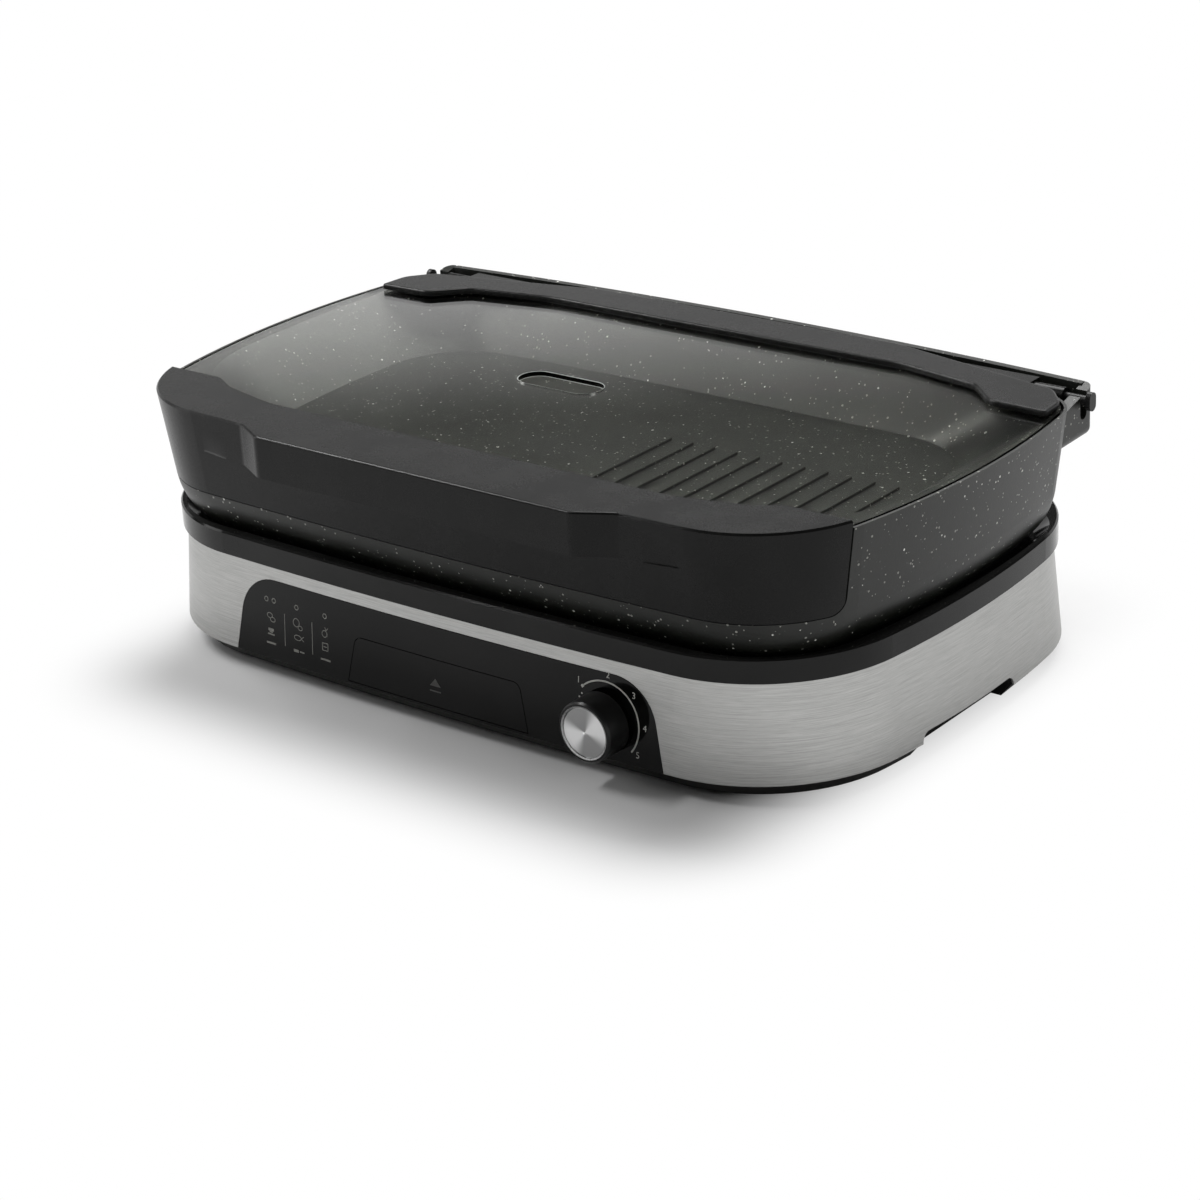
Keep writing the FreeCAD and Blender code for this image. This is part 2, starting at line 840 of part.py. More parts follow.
stem_holes = [
    post(f"{name}_hole", "foot_stem", "0", "shell_low + shell_floor + 1", x, y) for name, x, y in foot_spots()
]
base_shell = node(cut("shell_done", shell_cut, *stem_holes), "base_shell")

# Rubber feet: a pad under the shell and a stem pressed up through its floor
for name, x, y in foot_spots():
    profile = [
        ("0", "0"),
        ("foot_radius - 1", "0"),
        ("foot_radius", "shell_low"),
        ("foot_stem - slip", "shell_low"),
        ("foot_stem - slip", "shell_low + shell_floor + 2"),
        ("0", "shell_low + shell_floor + 2"),
    ]
    node(turned(name, profile, x, y), name)

# Rim ring: outer wall, slope down to the lip on which the plate sits, and posts for the screws
rim_body = new_body("rim_body")
rim_sketch = sketch_on(rim_body, "XY_Plane", RIM_LOW)
base_outline(rim_sketch, "steel_lean - rim_overhang")
pad(rim_body, rim_sketch, "rim_height")
bevel_edges(rim_body, "rim_edge_bevel", flat_at(RIM_TOP))
opening_sketch = sketch_on(rim_body, "XY_Plane", RIM_TOP)
lip_outline(opening_sketch, "rim_slope + rim_lip_width")
pocket(rim_body, opening_sketch, "rim_height")
gutter_sketch = sketch_on(rim_body, "XY_Plane", LIP_TOP)
plate_outline(gutter_sketch, "rim_slope")
pocket(rim_body, gutter_sketch, "rim_lip_drop", "atan((rim_slope - rim_land)/rim_lip_drop)", backwards=True)
under_sketch = sketch_on(rim_body, "XY_Plane", RIM_LOW)
base_outline(under_sketch, "steel_lean + steel_thick + slip + shell_wall + 1")
pocket(rim_body, under_sketch, f"{LIP_TOP} - rim_lip_thick - {RIM_LOW}", backwards=True)
rim_posts = at_posts("rim_posts", "post_radius", "post_top + slip", f"{LIP_TOP} - rim_lip_thick + 0.5")
rim_bores = at_posts("rim_bores", "screw_radius + slip", "post_top", "shell_low + screw_length + 12")
rim_ring = node(cut("rim_done", fuse("rim_solid", rim_body, rim_posts), rim_bores), "rim_ring")

# Screws from below, through the shell's posts into the rim's posts
screw_heads = at_posts(
    "screw_heads", "screw_head", "shell_low + 0.3", "shell_low + 0.3 + screw_head_thick"
)
screw_shanks = at_posts(
    "screw_shanks", "screw_radius", "shell_low + 0.3 + screw_head_thick", "shell_low + screw_length + 10"
)
bottom_screws = node(fuse("screws", screw_heads, screw_shanks), "bottom_screws")

# Drip tray: open box whose front end reaches the back of the drawer front
tray_solid = new_body("tray_solid")
tray_sketch = sketch_on(tray_solid, "XY_Plane", "tray_low")
draw_polygon(
    tray_sketch,
    [
        ("-tray_half_w", "-base_half_d"),
        ("tray_half_w", "-base_half_d"),
        ("tray_half_w", TRAY_END),
        ("-tray_half_w", TRAY_END),
    ],
)
pad(tray_solid, tray_sketch, "tray_top - tray_low")
round_edges(tray_solid, "tray_corner", lambda edge: edge.BoundBox.ZLength > 1 and edge.BoundBox.YMin > 0)
round_edges(tray_solid, "tray_wall + 1", flat_at("tray_low"))
tray_hollow = new_body("tray_hollow")
hollow_sketch = sketch_on(tray_hollow, "XY_Plane", "tray_low + tray_wall")
draw_polygon(
    hollow_sketch,
    [
        ("-tray_half_w + tray_wall", "-tray_front + tray_wall"),
        ("tray_half_w - tray_wall", "-tray_front + tray_wall"),
        ("tray_half_w - tray_wall", f"{TRAY_END} - tray_wall"),
        ("-tray_half_w + tray_wall", f"{TRAY_END} - tray_wall"),
    ],
)
pad(tray_hollow, hollow_sketch, "tray_top - tray_low")
round_edges(tray_hollow, "tray_corner - tray_wall", lambda edge: edge.BoundBox.ZLength > 1)
round_edges(tray_hollow, "tray_wall + 1", flat_at("tray_low + tray_wall"))
tray_cut = cut("tray_cut", tray_solid, tray_hollow)
drawer_tray = node(common("tray_done", tray_cut, panel_seat), "drawer_tray")

# Rails that carry and guide the tray
for name, sign in (("drawer_rail_right", ""), ("drawer_rail_left", "-")):
    body = new_body(name + "_body")
    sketch = sketch_on(body, "XZ_Plane", f"-({TRAY_END}) - 3")
    inner = f"{sign}(tray_half_w - rail_width)"
    guide = f"{sign}(tray_half_w + rail_run)"
    outer = f"{sign}(tray_half_w + rail_run + rail_guide)"
    draw_polygon(
        sketch,
        [
            (inner, "shell_low + shell_floor"),
            (outer, "shell_low + shell_floor"),
            (outer, "rail_guide_top"),
            (guide, "rail_guide_top"),
            (guide, "tray_low - rail_run"),
            (inner, "tray_low - rail_run"),
        ],
    )
    pad(body, sketch, "tray_depth - 8")
    node(body, name)

# Knob: cup, spun cap, bezel ring and the shaft that turns in the thermostat's neck
knob_profile = [
    ("shaft_radius + 0.05", KNOB_BACK + " + 2"),
    ("shaft_radius + 3", KNOB_BACK + " + 2"),
    ("shaft_radius + 3", KNOB_FACE + " - knob_wall - 2"),
    ("knob_radius - knob_wall", KNOB_FACE + " - knob_wall - 2"),
    ("knob_radius - knob_wall", KNOB_BACK),
    ("knob_radius", KNOB_BACK),
    ("knob_radius - 0.4", KNOB_FACE + " - 1.2"),
    ("knob_radius - 1.4", KNOB_FACE),
    ("cap_radius + bezel_width", KNOB_FACE),
    ("cap_radius + bezel_width", KNOB_FACE + " - 1.5"),
    ("shaft_radius + 0.05", KNOB_FACE + " - 1.5"),
]
knob_body = node(turned("knob_body_turned", knob_profile, "knob_x", z="knob_z"), "knob_body")
cap_profile = [
    ("0", KNOB_FACE + " - 1.5"),
    ("cap_radius", KNOB_FACE + " - 1.5"),
    ("cap_radius", KNOB_FACE + " - cap_proud - 0.3"),
    ("cap_radius - 0.6", KNOB_FACE + " - cap_proud"),
    ("0", KNOB_FACE + " - cap_proud - 0.4"),
]
knob_cap = node(turned("knob_cap_turned", cap_profile, "knob_x", z="knob_z"), "knob_cap")
bezel_profile = [
    ("cap_radius", KNOB_FACE + " - 1.5"),
    ("cap_radius + bezel_width", KNOB_FACE + " - 1.5"),
    ("cap_radius + bezel_width", KNOB_FACE + " + bezel_proud"),
    ("cap_radius", KNOB_FACE + " - 0.2"),
]
knob_bezel = node(turned("knob_bezel_turned", bezel_profile, "knob_x", z="knob_z"), "knob_bezel")
shaft_form = lying("shaft_form", "shaft_radius", "neck_front - 6", KNOB_FACE + " - 1.6", "knob_x", "knob_z")
knob_shaft = node(shaft_form, "knob_shaft")

# Thermostat: body behind the shell's boss, with a neck through it that carries the knob shaft
thermostat_case = box(
    "thermostat_case",
    ("knob_x - thermostat_half", "-thermostat_front + slip", "knob_z - thermostat_half"),
    ("knob_x + thermostat_half", "-thermostat_front + thermostat_depth", "knob_z + thermostat_half"),
)
neck = lying("neck", "neck_radius", "thermostat_front - 1", "neck_front", "knob_x", "knob_z")
neck_bore = lying("neck_bore", "shaft_radius + shaft_run", "neck_front - 7", "200", "knob_x", "knob_z")
thermostat = node(cut("thermostat_done", fuse("thermostat_solid", thermostat_case, neck), neck_bore), "thermostat")

# Reflector pan: a flange on the rim's lip and a raised floor under the element
pan_flange = slab("pan_flange", lip_outline, "pan_inset", LIP_TOP, f"{LIP_TOP} + pan_thick")
pan_floor = slab("pan_floor", lip_outline, "pan_inset + pan_step", LIP_TOP, PAN_TOP)
pan_under = slab(
    "pan_under", lip_outline, "pan_inset + pan_step + pan_thick", f"{LIP_TOP} - 1", f"{PAN_TOP} - pan_thick"
)
pan_drain = post("pan_drain", "funnel_top_radius + slip", "60", "90", y="-drain_y")
bead_spots = [("tube_right + tube_drop_bend", f"{sign}1.5*tube_pitch") for sign in ("-", "")]
bead_holes = [
    post(f"bead_hole_{i}", "bead_radius + slip", "60", "90", x, y) for i, (x, y) in enumerate(bead_spots)
]
reflector_pan = node(
    cut("pan_done", fuse("pan_solid", pan_flange, pan_floor), pan_under, pan_drain, *bead_holes), "reflector_pan"
)


# Heating element: one tube in four runs, both ends turned down through the pan
def element_path():
    """Lines and arcs along the middle of the tube."""
    level = number(TUBE_Z)
    left, right, inner = number("tube_left"), number("tube_right"), number("tube_inner_right")
    pitch, bend = number("tube_pitch"), number("tube_drop_bend")
    low = number(f"{PAN_TOP} - bead_below - 6")
    lean = bend * math.sqrt(0.5)
    outer, middle = 1.5 * pitch, 0.5 * pitch

    def point(x, y, z=level):
        return FreeCAD.Vector(x, y, z)

    def line(start, end):
        return Part.LineSegment(start, end).toShape()

    def arc(start, via, end):
        return Part.Arc(start, via, end).toShape()

    def drop(y):
        """The stretch that turns down at the right-hand end of a run, from below to the run."""
        foot = point(right + bend, y, low)
        knee = point(right + bend, y, level - bend)
        via = point(right + lean, y, level - bend + lean)
        return foot, knee, via, point(right, y)

    foot, knee, via, top = drop(-outer)
    path = [line(foot, knee), arc(knee, via, top), line(top, point(left, -outer))]
    path.append(arc(point(left, -outer), point(left - middle, -pitch), point(left, -middle)))
    path.append(line(point(left, -middle), point(inner, -middle)))
    path.append(arc(point(inner, -middle), point(inner + middle, 0), point(inner, middle)))
    path.append(line(point(inner, middle), point(left, middle)))
    path.append(arc(point(left, middle), point(left - middle, pitch), point(left, outer)))
    foot, knee, via, top = drop(outer)
    path += [line(point(left, outer), top), arc(top, via, knee), line(knee, foot)]
    return Part.Wire(path)


path = element_path()
start = path.Vertexes[0].Point
ring = Part.Wire([Part.makeCircle(number("tube_radius"), start, UP)])
heating_element = doc.addObject("Part::Feature", "element_tube")
heating_element.Shape = Part.Solid(path.makePipeShell([ring], True, False))
node(heating_element, "heating_element")

bead_profile = [
    ("tube_radius + slip", f"{PAN_TOP} - pan_thick - bead_below"),
    ("bead_radius", f"{PAN_TOP} - pan_thick - bead_below"),
    ("bead_radius", PAN_TOP),
    ("bead_radius + 2", PAN_TOP),
    ("bead_radius + 2", f"{PAN_TOP} + 3"),
    ("tube_radius + slip", f"{PAN_TOP} + 3"),
]
beads = [turned(f"bead_{i}", bead_profile, x, y) for i, (x, y) in enumerate(bead_spots)]
element_beads = node(fuse("beads", *beads), "element_beads")

# Brackets that hold the four runs of the tube against the plate
for name, sign in (("element_bracket_right", ""), ("element_bracket_left", "-")):
    body = new_body(name + "_body")
    sketch = sketch_on(body, "YZ_Plane", f"{sign}bracket_x")
    side = "(1.5*tube_pitch + bracket_side)"
    draw_polygon(sketch, [(f"-{side}", PAN_TOP), (side, PAN_TOP), (side, TUBE_Z), (f"-{side}", TUBE_Z)])
    pad(body, sketch, "bracket_thick")
    saddle_sketch = sketch_on(body, "YZ_Plane", f"{sign}bracket_x + bracket_thick")
    draw_circle(saddle_sketch, "-1.5*tube_pitch", TUBE_Z, "tube_radius + slip")
    saddle = pocket(body, saddle_sketch, "bracket_thick")
    row_of(body, saddle, "Y_Axis", "4", "tube_pitch")
    node(body, name)

# Drain funnel under the plate's spout
funnel_profile = [
    ("funnel_radius - funnel_wall", "funnel_low"),
    ("funnel_radius", "funnel_low"),
    ("funnel_top_radius", PAN_TOP),
    ("funnel_flange", PAN_TOP),
    ("funnel_flange", f"{PAN_TOP} + funnel_wall"),
    ("funnel_top_radius - funnel_wall", f"{PAN_TOP} + funnel_wall"),
]
drain_funnel = node(turned("funnel_turned", funnel_profile, "0", "-drain_y"), "drain_funnel")

# Rear cord gland and terminal block
gland_profile = [
    ("gland_bore", f"-{GLAND_PLANE} - gland_proud"),
    ("gland_flange - 1", f"-{GLAND_PLANE} - gland_proud"),
    ("gland_flange", f"-{GLAND_PLANE} - gland_proud + 1"),
    ("gland_flange", f"-{GLAND_PLANE} - gland_clear"),
    ("gland_radius", f"-{GLAND_PLANE} - gland_clear"),
    ("gland_radius", f"-{GLAND_PLANE} + gland_inside"),
    ("gland_bore", f"-{GLAND_PLANE} + gland_inside"),
]
cord_gland = node(turned("gland_turned", gland_profile, "gland_x", z="gland_z"), "cord_gland")
block_case = box(
    "block_case",
    ("block_x - block_length/2", "block_y", "shell_low + shell_floor"),
    ("block_x + block_length/2", "block_y + block_width", "shell_low + shell_floor + block_height"),
)
terminal_block = node(block_case, "terminal_block")


# Grill plate: a cast shell with a sloping pan inside a deep skirt
def plate_form(name):
    """The plate's outer form: a wall that flares towards the rim and curves in below."""
    body = flared(name, "0", "plate_low", "plate_top")
    round_edges(body, "plate_round", flat_at("plate_low"))
    return body


def pan_loft(name, wall, top):
    """The dish between the cooking floor and the rim, thicker by a wall on every side."""
    body = new_body(name)
    floor_sketch = sketch_on(body, "XY_Plane", f"pan_floor_top - ({wall})*pan_floor_thick/pan_wall")
    draw_bowed(
        floor_sketch,
        f"floor_half_w + ({wall})",
        f"floor_front + ({wall})",
        f"floor_rear + ({wall})",
        "plate_bow",
        "plate_end_bow",
        f"floor_corner + ({wall})",
        f"floor_corner + ({wall})",
        "plate_mid",
    )
    rim_sketch = sketch_on(body, "XY_Plane", top)
    draw_bowed(
        rim_sketch,
        f"cavity_half_w + ({wall})",
        f"cavity_front + ({wall})",
        f"cavity_rear + ({wall})",
        "plate_bow",
        "plate_end_bow",
        f"cavity_corner + ({wall})",
        f"cavity_rear_corner + ({wall})",
        "plate_mid",
    )
    loft = body.newObject("PartDesign::AdditiveLoft", name + "_loft")
    loft.Profile = floor_sketch
    loft.Sections = [rim_sketch]
    loft.Ruled = True
    return body


plate_outside = plate_form("plate_outside")
inside_low = slab(
    "inside_low",
    flare_outline,
    "skirt_inset",
    "skirt_low - 1",
    "skirt_knee",
    "atan((skirt_inset - skirt_knee_inset)/(skirt_knee - skirt_low + 1))",
)
inside_high = slab(
    "inside_high",
    flare_outline,
    "skirt_knee_inset",
    "skirt_knee",
    "seat_top - 6",
    "atan((skirt_knee_inset - skirt_top_inset)/(seat_top - 6 - skirt_knee))",
)
pan_cavity = pan_loft("pan_cavity", "0", "seat_top")
pan_outside = pan_loft("pan_outside", "pan_wall", "seat_top")
rim_seat = slab("rim_seat", flare_outline, "flare_lip", "seat_top", "plate_top + 1")
front_zone = box("front_zone", ("-300", "-300", "notch_low - ledge_thick"), ("300", "-notch_rear", "plate_top + 20"))
below_skirt = box("below_skirt", ("-300", "-300", "0"), ("300", "300", "skirt_low"))
plate_inside = fuse("plate_inside", inside_low, inside_high)
hollow = cut("plate_hollow", plate_inside, pan_outside, front_zone)
notch_box = box("notch_box", ("-300", "-300", "notch_low"), ("300", "-notch_rear", "plate_top + 20"))
notch_round = part("Fillet", "notch_round", Base=notch_box)
doc.recompute()
notch_edges = edges(
    notch_box,
    lambda edge: edge.BoundBox.XLength > 1
    and abs(edge.BoundBox.YMin + number("notch_rear")) < 0.01
    and abs(edge.BoundBox.ZMin - number("notch_low")) < 0.01,
)
notch_round.Edges = [(int(name[4:]), number("notch_round"), number("notch_round")) for name in notch_edges]
notch = cut("notch", notch_round, pan_outside)
rim_drop = box("rim_drop", ("-300", "-300", "front_rim_top"), ("300", "-notch_rear", "plate_top + 20"))
plate_shell = cut("plate_shell", plate_outside, rim_seat, below_skirt, pan_cavity, hollow, notch, rim_drop)

# Grill ribs on the right half of the floor
ribs = new_body("ribs")
rib_sketch = sketch_on(ribs, "XY_Plane", "pan_floor_top - 1")
draw_polygon(
    rib_sketch,
    [
        ("rib_first_x - rib_width", "-rib_front"),
        ("rib_first_x", "-rib_front"),
        ("rib_first_x", "rib_rear"),
        ("rib_first_x - rib_width", "rib_rear"),
    ],
)
rib = pad(ribs, rib_sketch, "rib_height + 1")
row_of(ribs, rib, "X_Axis", "rib_count", "rib_pitch")


# Hinge ears with open slots, the bar that joins them, and the drain spout
def ear_form(name, sign):
    body = new_body(name)
    sketch = sketch_on(body, "YZ_Plane", f"{sign}(ear_outer - ear_thick/2) - ear_thick/2")
    draw_polygon(
        sketch,
        [("ear_front", "ear_low - 1"), ("ear_rear", "ear_low"), ("ear_rear", "bar_top"), ("ear_front", "seat_top - 4")],
    )
    pad(body, sketch, "ear_thick")
    rear = number("ear_rear")
    outer = number("ear_outer")
    middle = number("rod_z")
    round_edges(
        body,
        "ear_round",
        lambda edge: edge.BoundBox.XLength > 1 and edge.BoundBox.YMin > rear - 0.1 and edge.BoundBox.ZMin < middle,
    )
    round_edges(
        body,
        "ear_corner",
        lambda edge: edge.BoundBox.ZLength > 10
        and edge.BoundBox.YMin > rear - 0.1
        and abs(abs(edge.BoundBox.XMin) - outer) < 0.01,
    )
    return body


def slot_tool(name, sign):
    """The open slot in which a rod's end stands, round at its lower end."""
    x = f"{sign}(ear_outer - ear_thick/2) - ear_thick"
    channel = box(
        name + "_channel",
        (x, "rod_y - slot_width/2", "slot_low + slot_width/2"),
        (f"{x} + 2*ear_thick", "rod_y + slot_width/2", "bar_top + 5"),
    )
    foot = part("Cylinder", name + "_foot", Radius="slot_width/2", Height="2*ear_thick")
    foot.Placement.Rotation = FreeCAD.Rotation(FreeCAD.Vector(0, 1, 0), 90)
    placed(foot, x, "rod_y", "slot_low + slot_width/2")
    return fuse(name, channel, foot)


bar_body = new_body("bar_body")
bar_sketch = sketch_on(bar_body, "XY_Plane", "bar_low")
bar_bow = "((ear_outer - ear_thick/2)^2/(2*(bar_mid - bar_end)) + (bar_mid - bar_end)/2)"
draw_circle(bar_sketch, "0", f"bar_mid - {bar_bow}", f"{bar_bow} + bar_thick")
draw_circle(bar_sketch, "0", f"bar_mid - {bar_bow}", bar_bow)
pad(bar_body, bar_sketch, "bar_top - bar_low")
bar_zone = box(
    "bar_zone",
    ("ear_thick - ear_outer + 1", "bar_end - 5", "bar_low - 1"),
    ("ear_outer - ear_thick + 1", "bar_mid + bar_thick + 5", "bar_top + 1"),
)
rear_bar = common("rear_bar", bar_body, bar_zone)
spout_profile = [
    ("drain_radius", "spout_low"),
    ("drain_radius + spout_wall", "spout_low"),
    ("drain_radius + spout_wall", "pan_floor_top - 1"),
    ("drain_radius", "pan_floor_top - 1"),
]
spout = turned("spout", spout_profile, "0", "-drain_y")
drain_hole = post("drain_hole", "drain_radius", "80", "130", y="-drain_y")
plate_solid = fuse(
    "plate_solid", plate_shell, ribs, ear_form("ear_right", ""), ear_form("ear_left", "-"), rear_bar, spout
)
grill_plate = node(
    cut("plate_done", plate_solid, slot_tool("slot_right", ""), slot_tool("slot_left", "-"), drain_hole),
    "grill_plate",
)

# Hinge rod and the flat tabs pressed on its ends
rod_form = part("Cylinder", "rod_form", Radius="rod_radius", Height="2*(tab_outer - tab_thick)")
rod_form.Placement.Rotation = FreeCAD.Rotation(FreeCAD.Vector(0, 1, 0), 90)
placed(rod_form, "tab_thick - tab_outer", "rod_y", "rod_z")
hinge_rod = node(rod_form, "hinge_rod")
for name, start in (("rod_tab_right", "tab_outer - tab_thick"), ("rod_tab_left", "-tab_outer")):
    body = new_body(name + "_body")
    sketch = sketch_on(body, "YZ_Plane", start)
    draw_polygon(
        sketch,
        [
            ("rod_y - tab_width/2", "rod_z - tab_height/2"),
            ("rod_y + tab_width/2", "rod_z - tab_height/2"),
            ("rod_y + tab_width/2", "rod_z + tab_height/2"),
            ("rod_y - tab_width/2", "rod_z + tab_height/2"),
        ],
    )
    pad(body, sketch, "tab_thick")
    round_edges(body, "tab_width/2 - 0.05", lambda edge: edge.BoundBox.XLength > 1)
    node(body, name)

# Lid glass with its oval vent hole
GLASS_TOP = "(glass_low + glass_thick)"
SEAL_TOP = f"({GLASS_TOP} + seal_thick)"
glass_wide = slab("glass_wide", flare_outline, "glass_inset", "glass_low", GLASS_TOP)
glass_narrow = slab("glass_narrow", flare_outline, "glass_front_inset", "glass_low", GLASS_TOP)
wide_zone = box("wide_zone", ("-300", "frame_gap - notch_rear", "0"), ("300", "glass_rear", "200"))
narrow_zone = box("narrow_zone", ("-300", "-glass_front", "0"), ("300", "0", "200"))
glass_sheet = fuse(
    "glass_sheet", common("glass_middle", glass_wide, wide_zone), common("glass_end", glass_narrow, narrow_zone)
)
vent = new_body("vent")
vent_sketch = sketch_on(vent, "XY_Plane", "glass_low - 1")
draw_polygon(
    vent_sketch,
    [
        ("vent_x - vent_length/2", "vent_y - vent_width/2"),
        ("vent_x + vent_length/2", "vent_y - vent_width/2"),
        ("vent_x + vent_length/2", "vent_y + vent_width/2"),
        ("vent_x - vent_length/2", "vent_y + vent_width/2"),
    ],
)
pad(vent, vent_sketch, "glass_thick + 2")
round_edges(vent, "vent_width/2 - 0.05", lambda edge: edge.BoundBox.ZLength > 1)
lid_glass = node(cut("glass_done", glass_sheet, vent), "lid_glass")


def front_zone_form(name, low, high):
    """What lies in front of the front frame's stepped inner edge."""
    body = new_body(name)
    sketch = sketch_on(body, "XY_Plane", low)
    half = [
        ("frame_turn_x", "-frame_inner"),
        ("frame_slope_x", "-frame_slope"),
        ("frame_step_x", "-frame_step"),
        ("300", "-frame_step"),
        ("300", "-300"),
    ]
    draw_polygon(sketch, half + [(f"-{x}", y) for x, y in reversed(half)])
    pad(body, sketch, f"({high}) - ({low})")
    for turn in ("frame_turn", "frame_slope", "frame_step"):
        round_edges(body, turn + "_round", upright_at(turn + "_x"))
    return body


def upright_at(x):
    """Picks the two upright edges at a distance from the middle."""
    worth = number(x)
    return lambda edge: edge.BoundBox.ZLength > 1 and abs(abs(edge.BoundBox.XMin) - worth) < 0.01


# Front lid frame: a cap over the plate's front with a handle ledge
front_form = flared("front_form", "0", "frame_low", "lid_top")
bevel_edges(front_form, "frame_edge_bevel", flat_at("lid_top"))
step_zone = front_zone_form("step_zone", "frame_low - 1", "lid_top + 1")
side_zone = new_body("side_zone")
side_sketch = sketch_on(side_zone, "YZ_Plane", "-300")
cap_rear = "-notch_rear - frame_gap"
draw_polygon(side_sketch, [("-300", "frame_low"), (cap_rear, "frame_low"), (cap_rear, "200"), ("-300", "200")])
pad(side_zone, side_sketch, "600")
cap_end = number(cap_rear)
round_edges(
    side_zone,
    "notch_round",
    lambda edge: edge.BoundBox.XLength > 1
    and abs(edge.BoundBox.YMin - cap_end) < 0.01
    and edge.BoundBox.ZMax < number("frame_low + 1"),
)
front_cap = common("front_cap", front_form, step_zone, side_zone)
handle = new_body("handle")
handle_sketch = sketch_on(handle, "XY_Plane", "handle_low")
handle_half = [
    ("handle_half_w", "-handle_front"),
    ("handle_foot", "1.6 - plate_front - flare"),
    ("handle_foot + 16", "3 - plate_front - flare"),
    ("handle_foot + 16", "8 - plate_front - flare"),
]
draw_polygon(handle_sketch, [(f"-({x})", y) for x, y in reversed(handle_half)] + handle_half)
pad(handle, handle_sketch, "lid_top - handle_low")
round_edges(
    handle,
    "handle_round",
    lambda edge: edge.BoundBox.ZLength > 1 and abs(edge.BoundBox.XMin) < number("handle_foot + 1"),
)
round_edges(handle, "frame_edge_round", lambda edge: flat_at("lid_top")(edge) and edge.BoundBox.YMax < -150)
grip = box(
    "grip",
    ("-handle_half_w + handle_wall", "-handle_front + handle_wall", "handle_low - 1"),
    ("handle_half_w - handle_wall", "-plate_front - flare - 1.5", "lid_top - handle_wall - 3"),
)
front_solid = fuse("front_solid", front_cap, handle)
cap_inside = flared("cap_inside", "frame_wall", "frame_low - 1", SEAL_TOP)
cap_zone = box("cap_zone", ("-300", "-300", "0"), ("300", f"-notch_rear - frame_gap - frame_wall", "lid_top"))
cap_hollow = common("cap_hollow", cap_inside, cap_zone)
glass_slot = flared("glass_slot", "frame_wall - 0.3", "glass_low - 0.2", SEAL_TOP)
keeper = new_body("keeper")
keeper_sketch = sketch_on(keeper, "XY_Plane", "frame_low - 1")
draw_bowed(
    keeper_sketch,
    "cavity_half_w + pan_wall + 1",
    "cavity_front + pan_wall + 1",
    "cavity_rear",
    "plate_bow",
    "plate_end_bow",
    "cavity_corner + pan_wall + 1",
    "cavity_rear_corner",
    "plate_mid",
)
pad(keeper, keeper_sketch, "seat_top - frame_low + 1")
front_frame = node(
    cut("front_done", front_solid, cap_hollow, glass_slot, grip, keeper), "front_frame"
)

# Rear lid frame with the barrel that turns on the rod
rear_form = new_body("rear_form")
rear_sketch = sketch_on(rear_form, "XY_Plane", SEAL_TOP)
rear_half = [
    ("plate_half_w - 121.5", "plate_rear - 12", 60),
    ("plate_half_w - 64.5", "plate_rear - 23", 12),
    ("plate_half_w - 44.5", "plate_rear - 41.5", 12),
    ("plate_half_w - 7", "plate_rear - 43", 2),
    ("plate_half_w - 9", "plate_rear - 23", 14),
    ("plate_half_w - 22", "plate_rear - 8", 14),
    ("rear_frame_mid_x", "rear_frame_rear", 60),
]
draw_polygon(rear_sketch, [(x, y) for x, y, _ in rear_half] + [(f"-({x})", y) for x, y, _ in reversed(rear_half)])
pad(rear_form, rear_sketch, f"lid_top - {SEAL_TOP}")
for x, y, turn in rear_half:
    round_edges(rear_form, str(turn), upright_at(x))
round_edges(rear_form, "frame_edge_round", flat_at("lid_top"))
barrel = part("Cylinder", "barrel", Radius="barrel_radius", Height="2*barrel_half_w")
barrel.Placement.Rotation = FreeCAD.Rotation(FreeCAD.Vector(0, 1, 0), 90)
placed(barrel, "-barrel_half_w", "rod_y", "rod_z")
barrel_web = box(
    "barrel_web",
    ("barrel_web_gap - barrel_half_w", "rod_y - barrel_radius", "rod_z"),
    ("barrel_half_w - barrel_web_gap", "rod_y + barrel_radius", f"{SEAL_TOP} + 1"),
)
barrel_bore = part("Cylinder", "barrel_bore", Radius="rod_radius + barrel_run", Height="2*barrel_half_w + 10")
barrel_bore.Placement.Rotation = FreeCAD.Rotation(FreeCAD.Vector(0, 1, 0), 90)
placed(barrel_bore, "-barrel_half_w - 5", "rod_y", "rod_z")
rear_frame = node(
    cut("rear_done", fuse("rear_solid", rear_form, barrel, barrel_web), barrel_bore), "rear_frame"
)

# Silicone seals between the glass and the frames
seal_slab = slab("seal_slab", flare_outline, "frame_wall + 1", GLASS_TOP, SEAL_TOP)
front_seal_zone = box("front_seal_zone", ("-frame_turn_x", "-glass_front", "0"), ("frame_turn_x", "-frame_inner - 3", "200"))
front_seal = node(common("front_seal_cut", seal_slab, front_seal_zone), "front_seal")
rear_seal_zone = box(
    "rear_seal_zone", ("-150", "rear_frame_front + 1", GLASS_TOP), ("150", "glass_rear - 0.5", SEAL_TOP)
)
rear_seal = node(rear_seal_zone, "rear_seal")

doc.recompute()
broken = [thing.Name for thing in doc.Objects if {"Invalid", "Error"} & set(thing.State)]
if broken:
    raise ValueError(f"failed objects: {broken}")
os.makedirs("parts", exist_ok=True)
for thing in nodes:
    if thing.Shape.isNull() or not thing.Shape.isValid():
        raise ValueError(f"{thing.Label} has no valid shape")
for thing in nodes:
    thing.Shape.exportStep(f"parts/{thing.Label}.step")
    print(thing.Label, len(thing.Shape.Solids), round(thing.Shape.Volume))
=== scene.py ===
import bmesh
import bpy
import math
from mathutils import Matrix, Vector


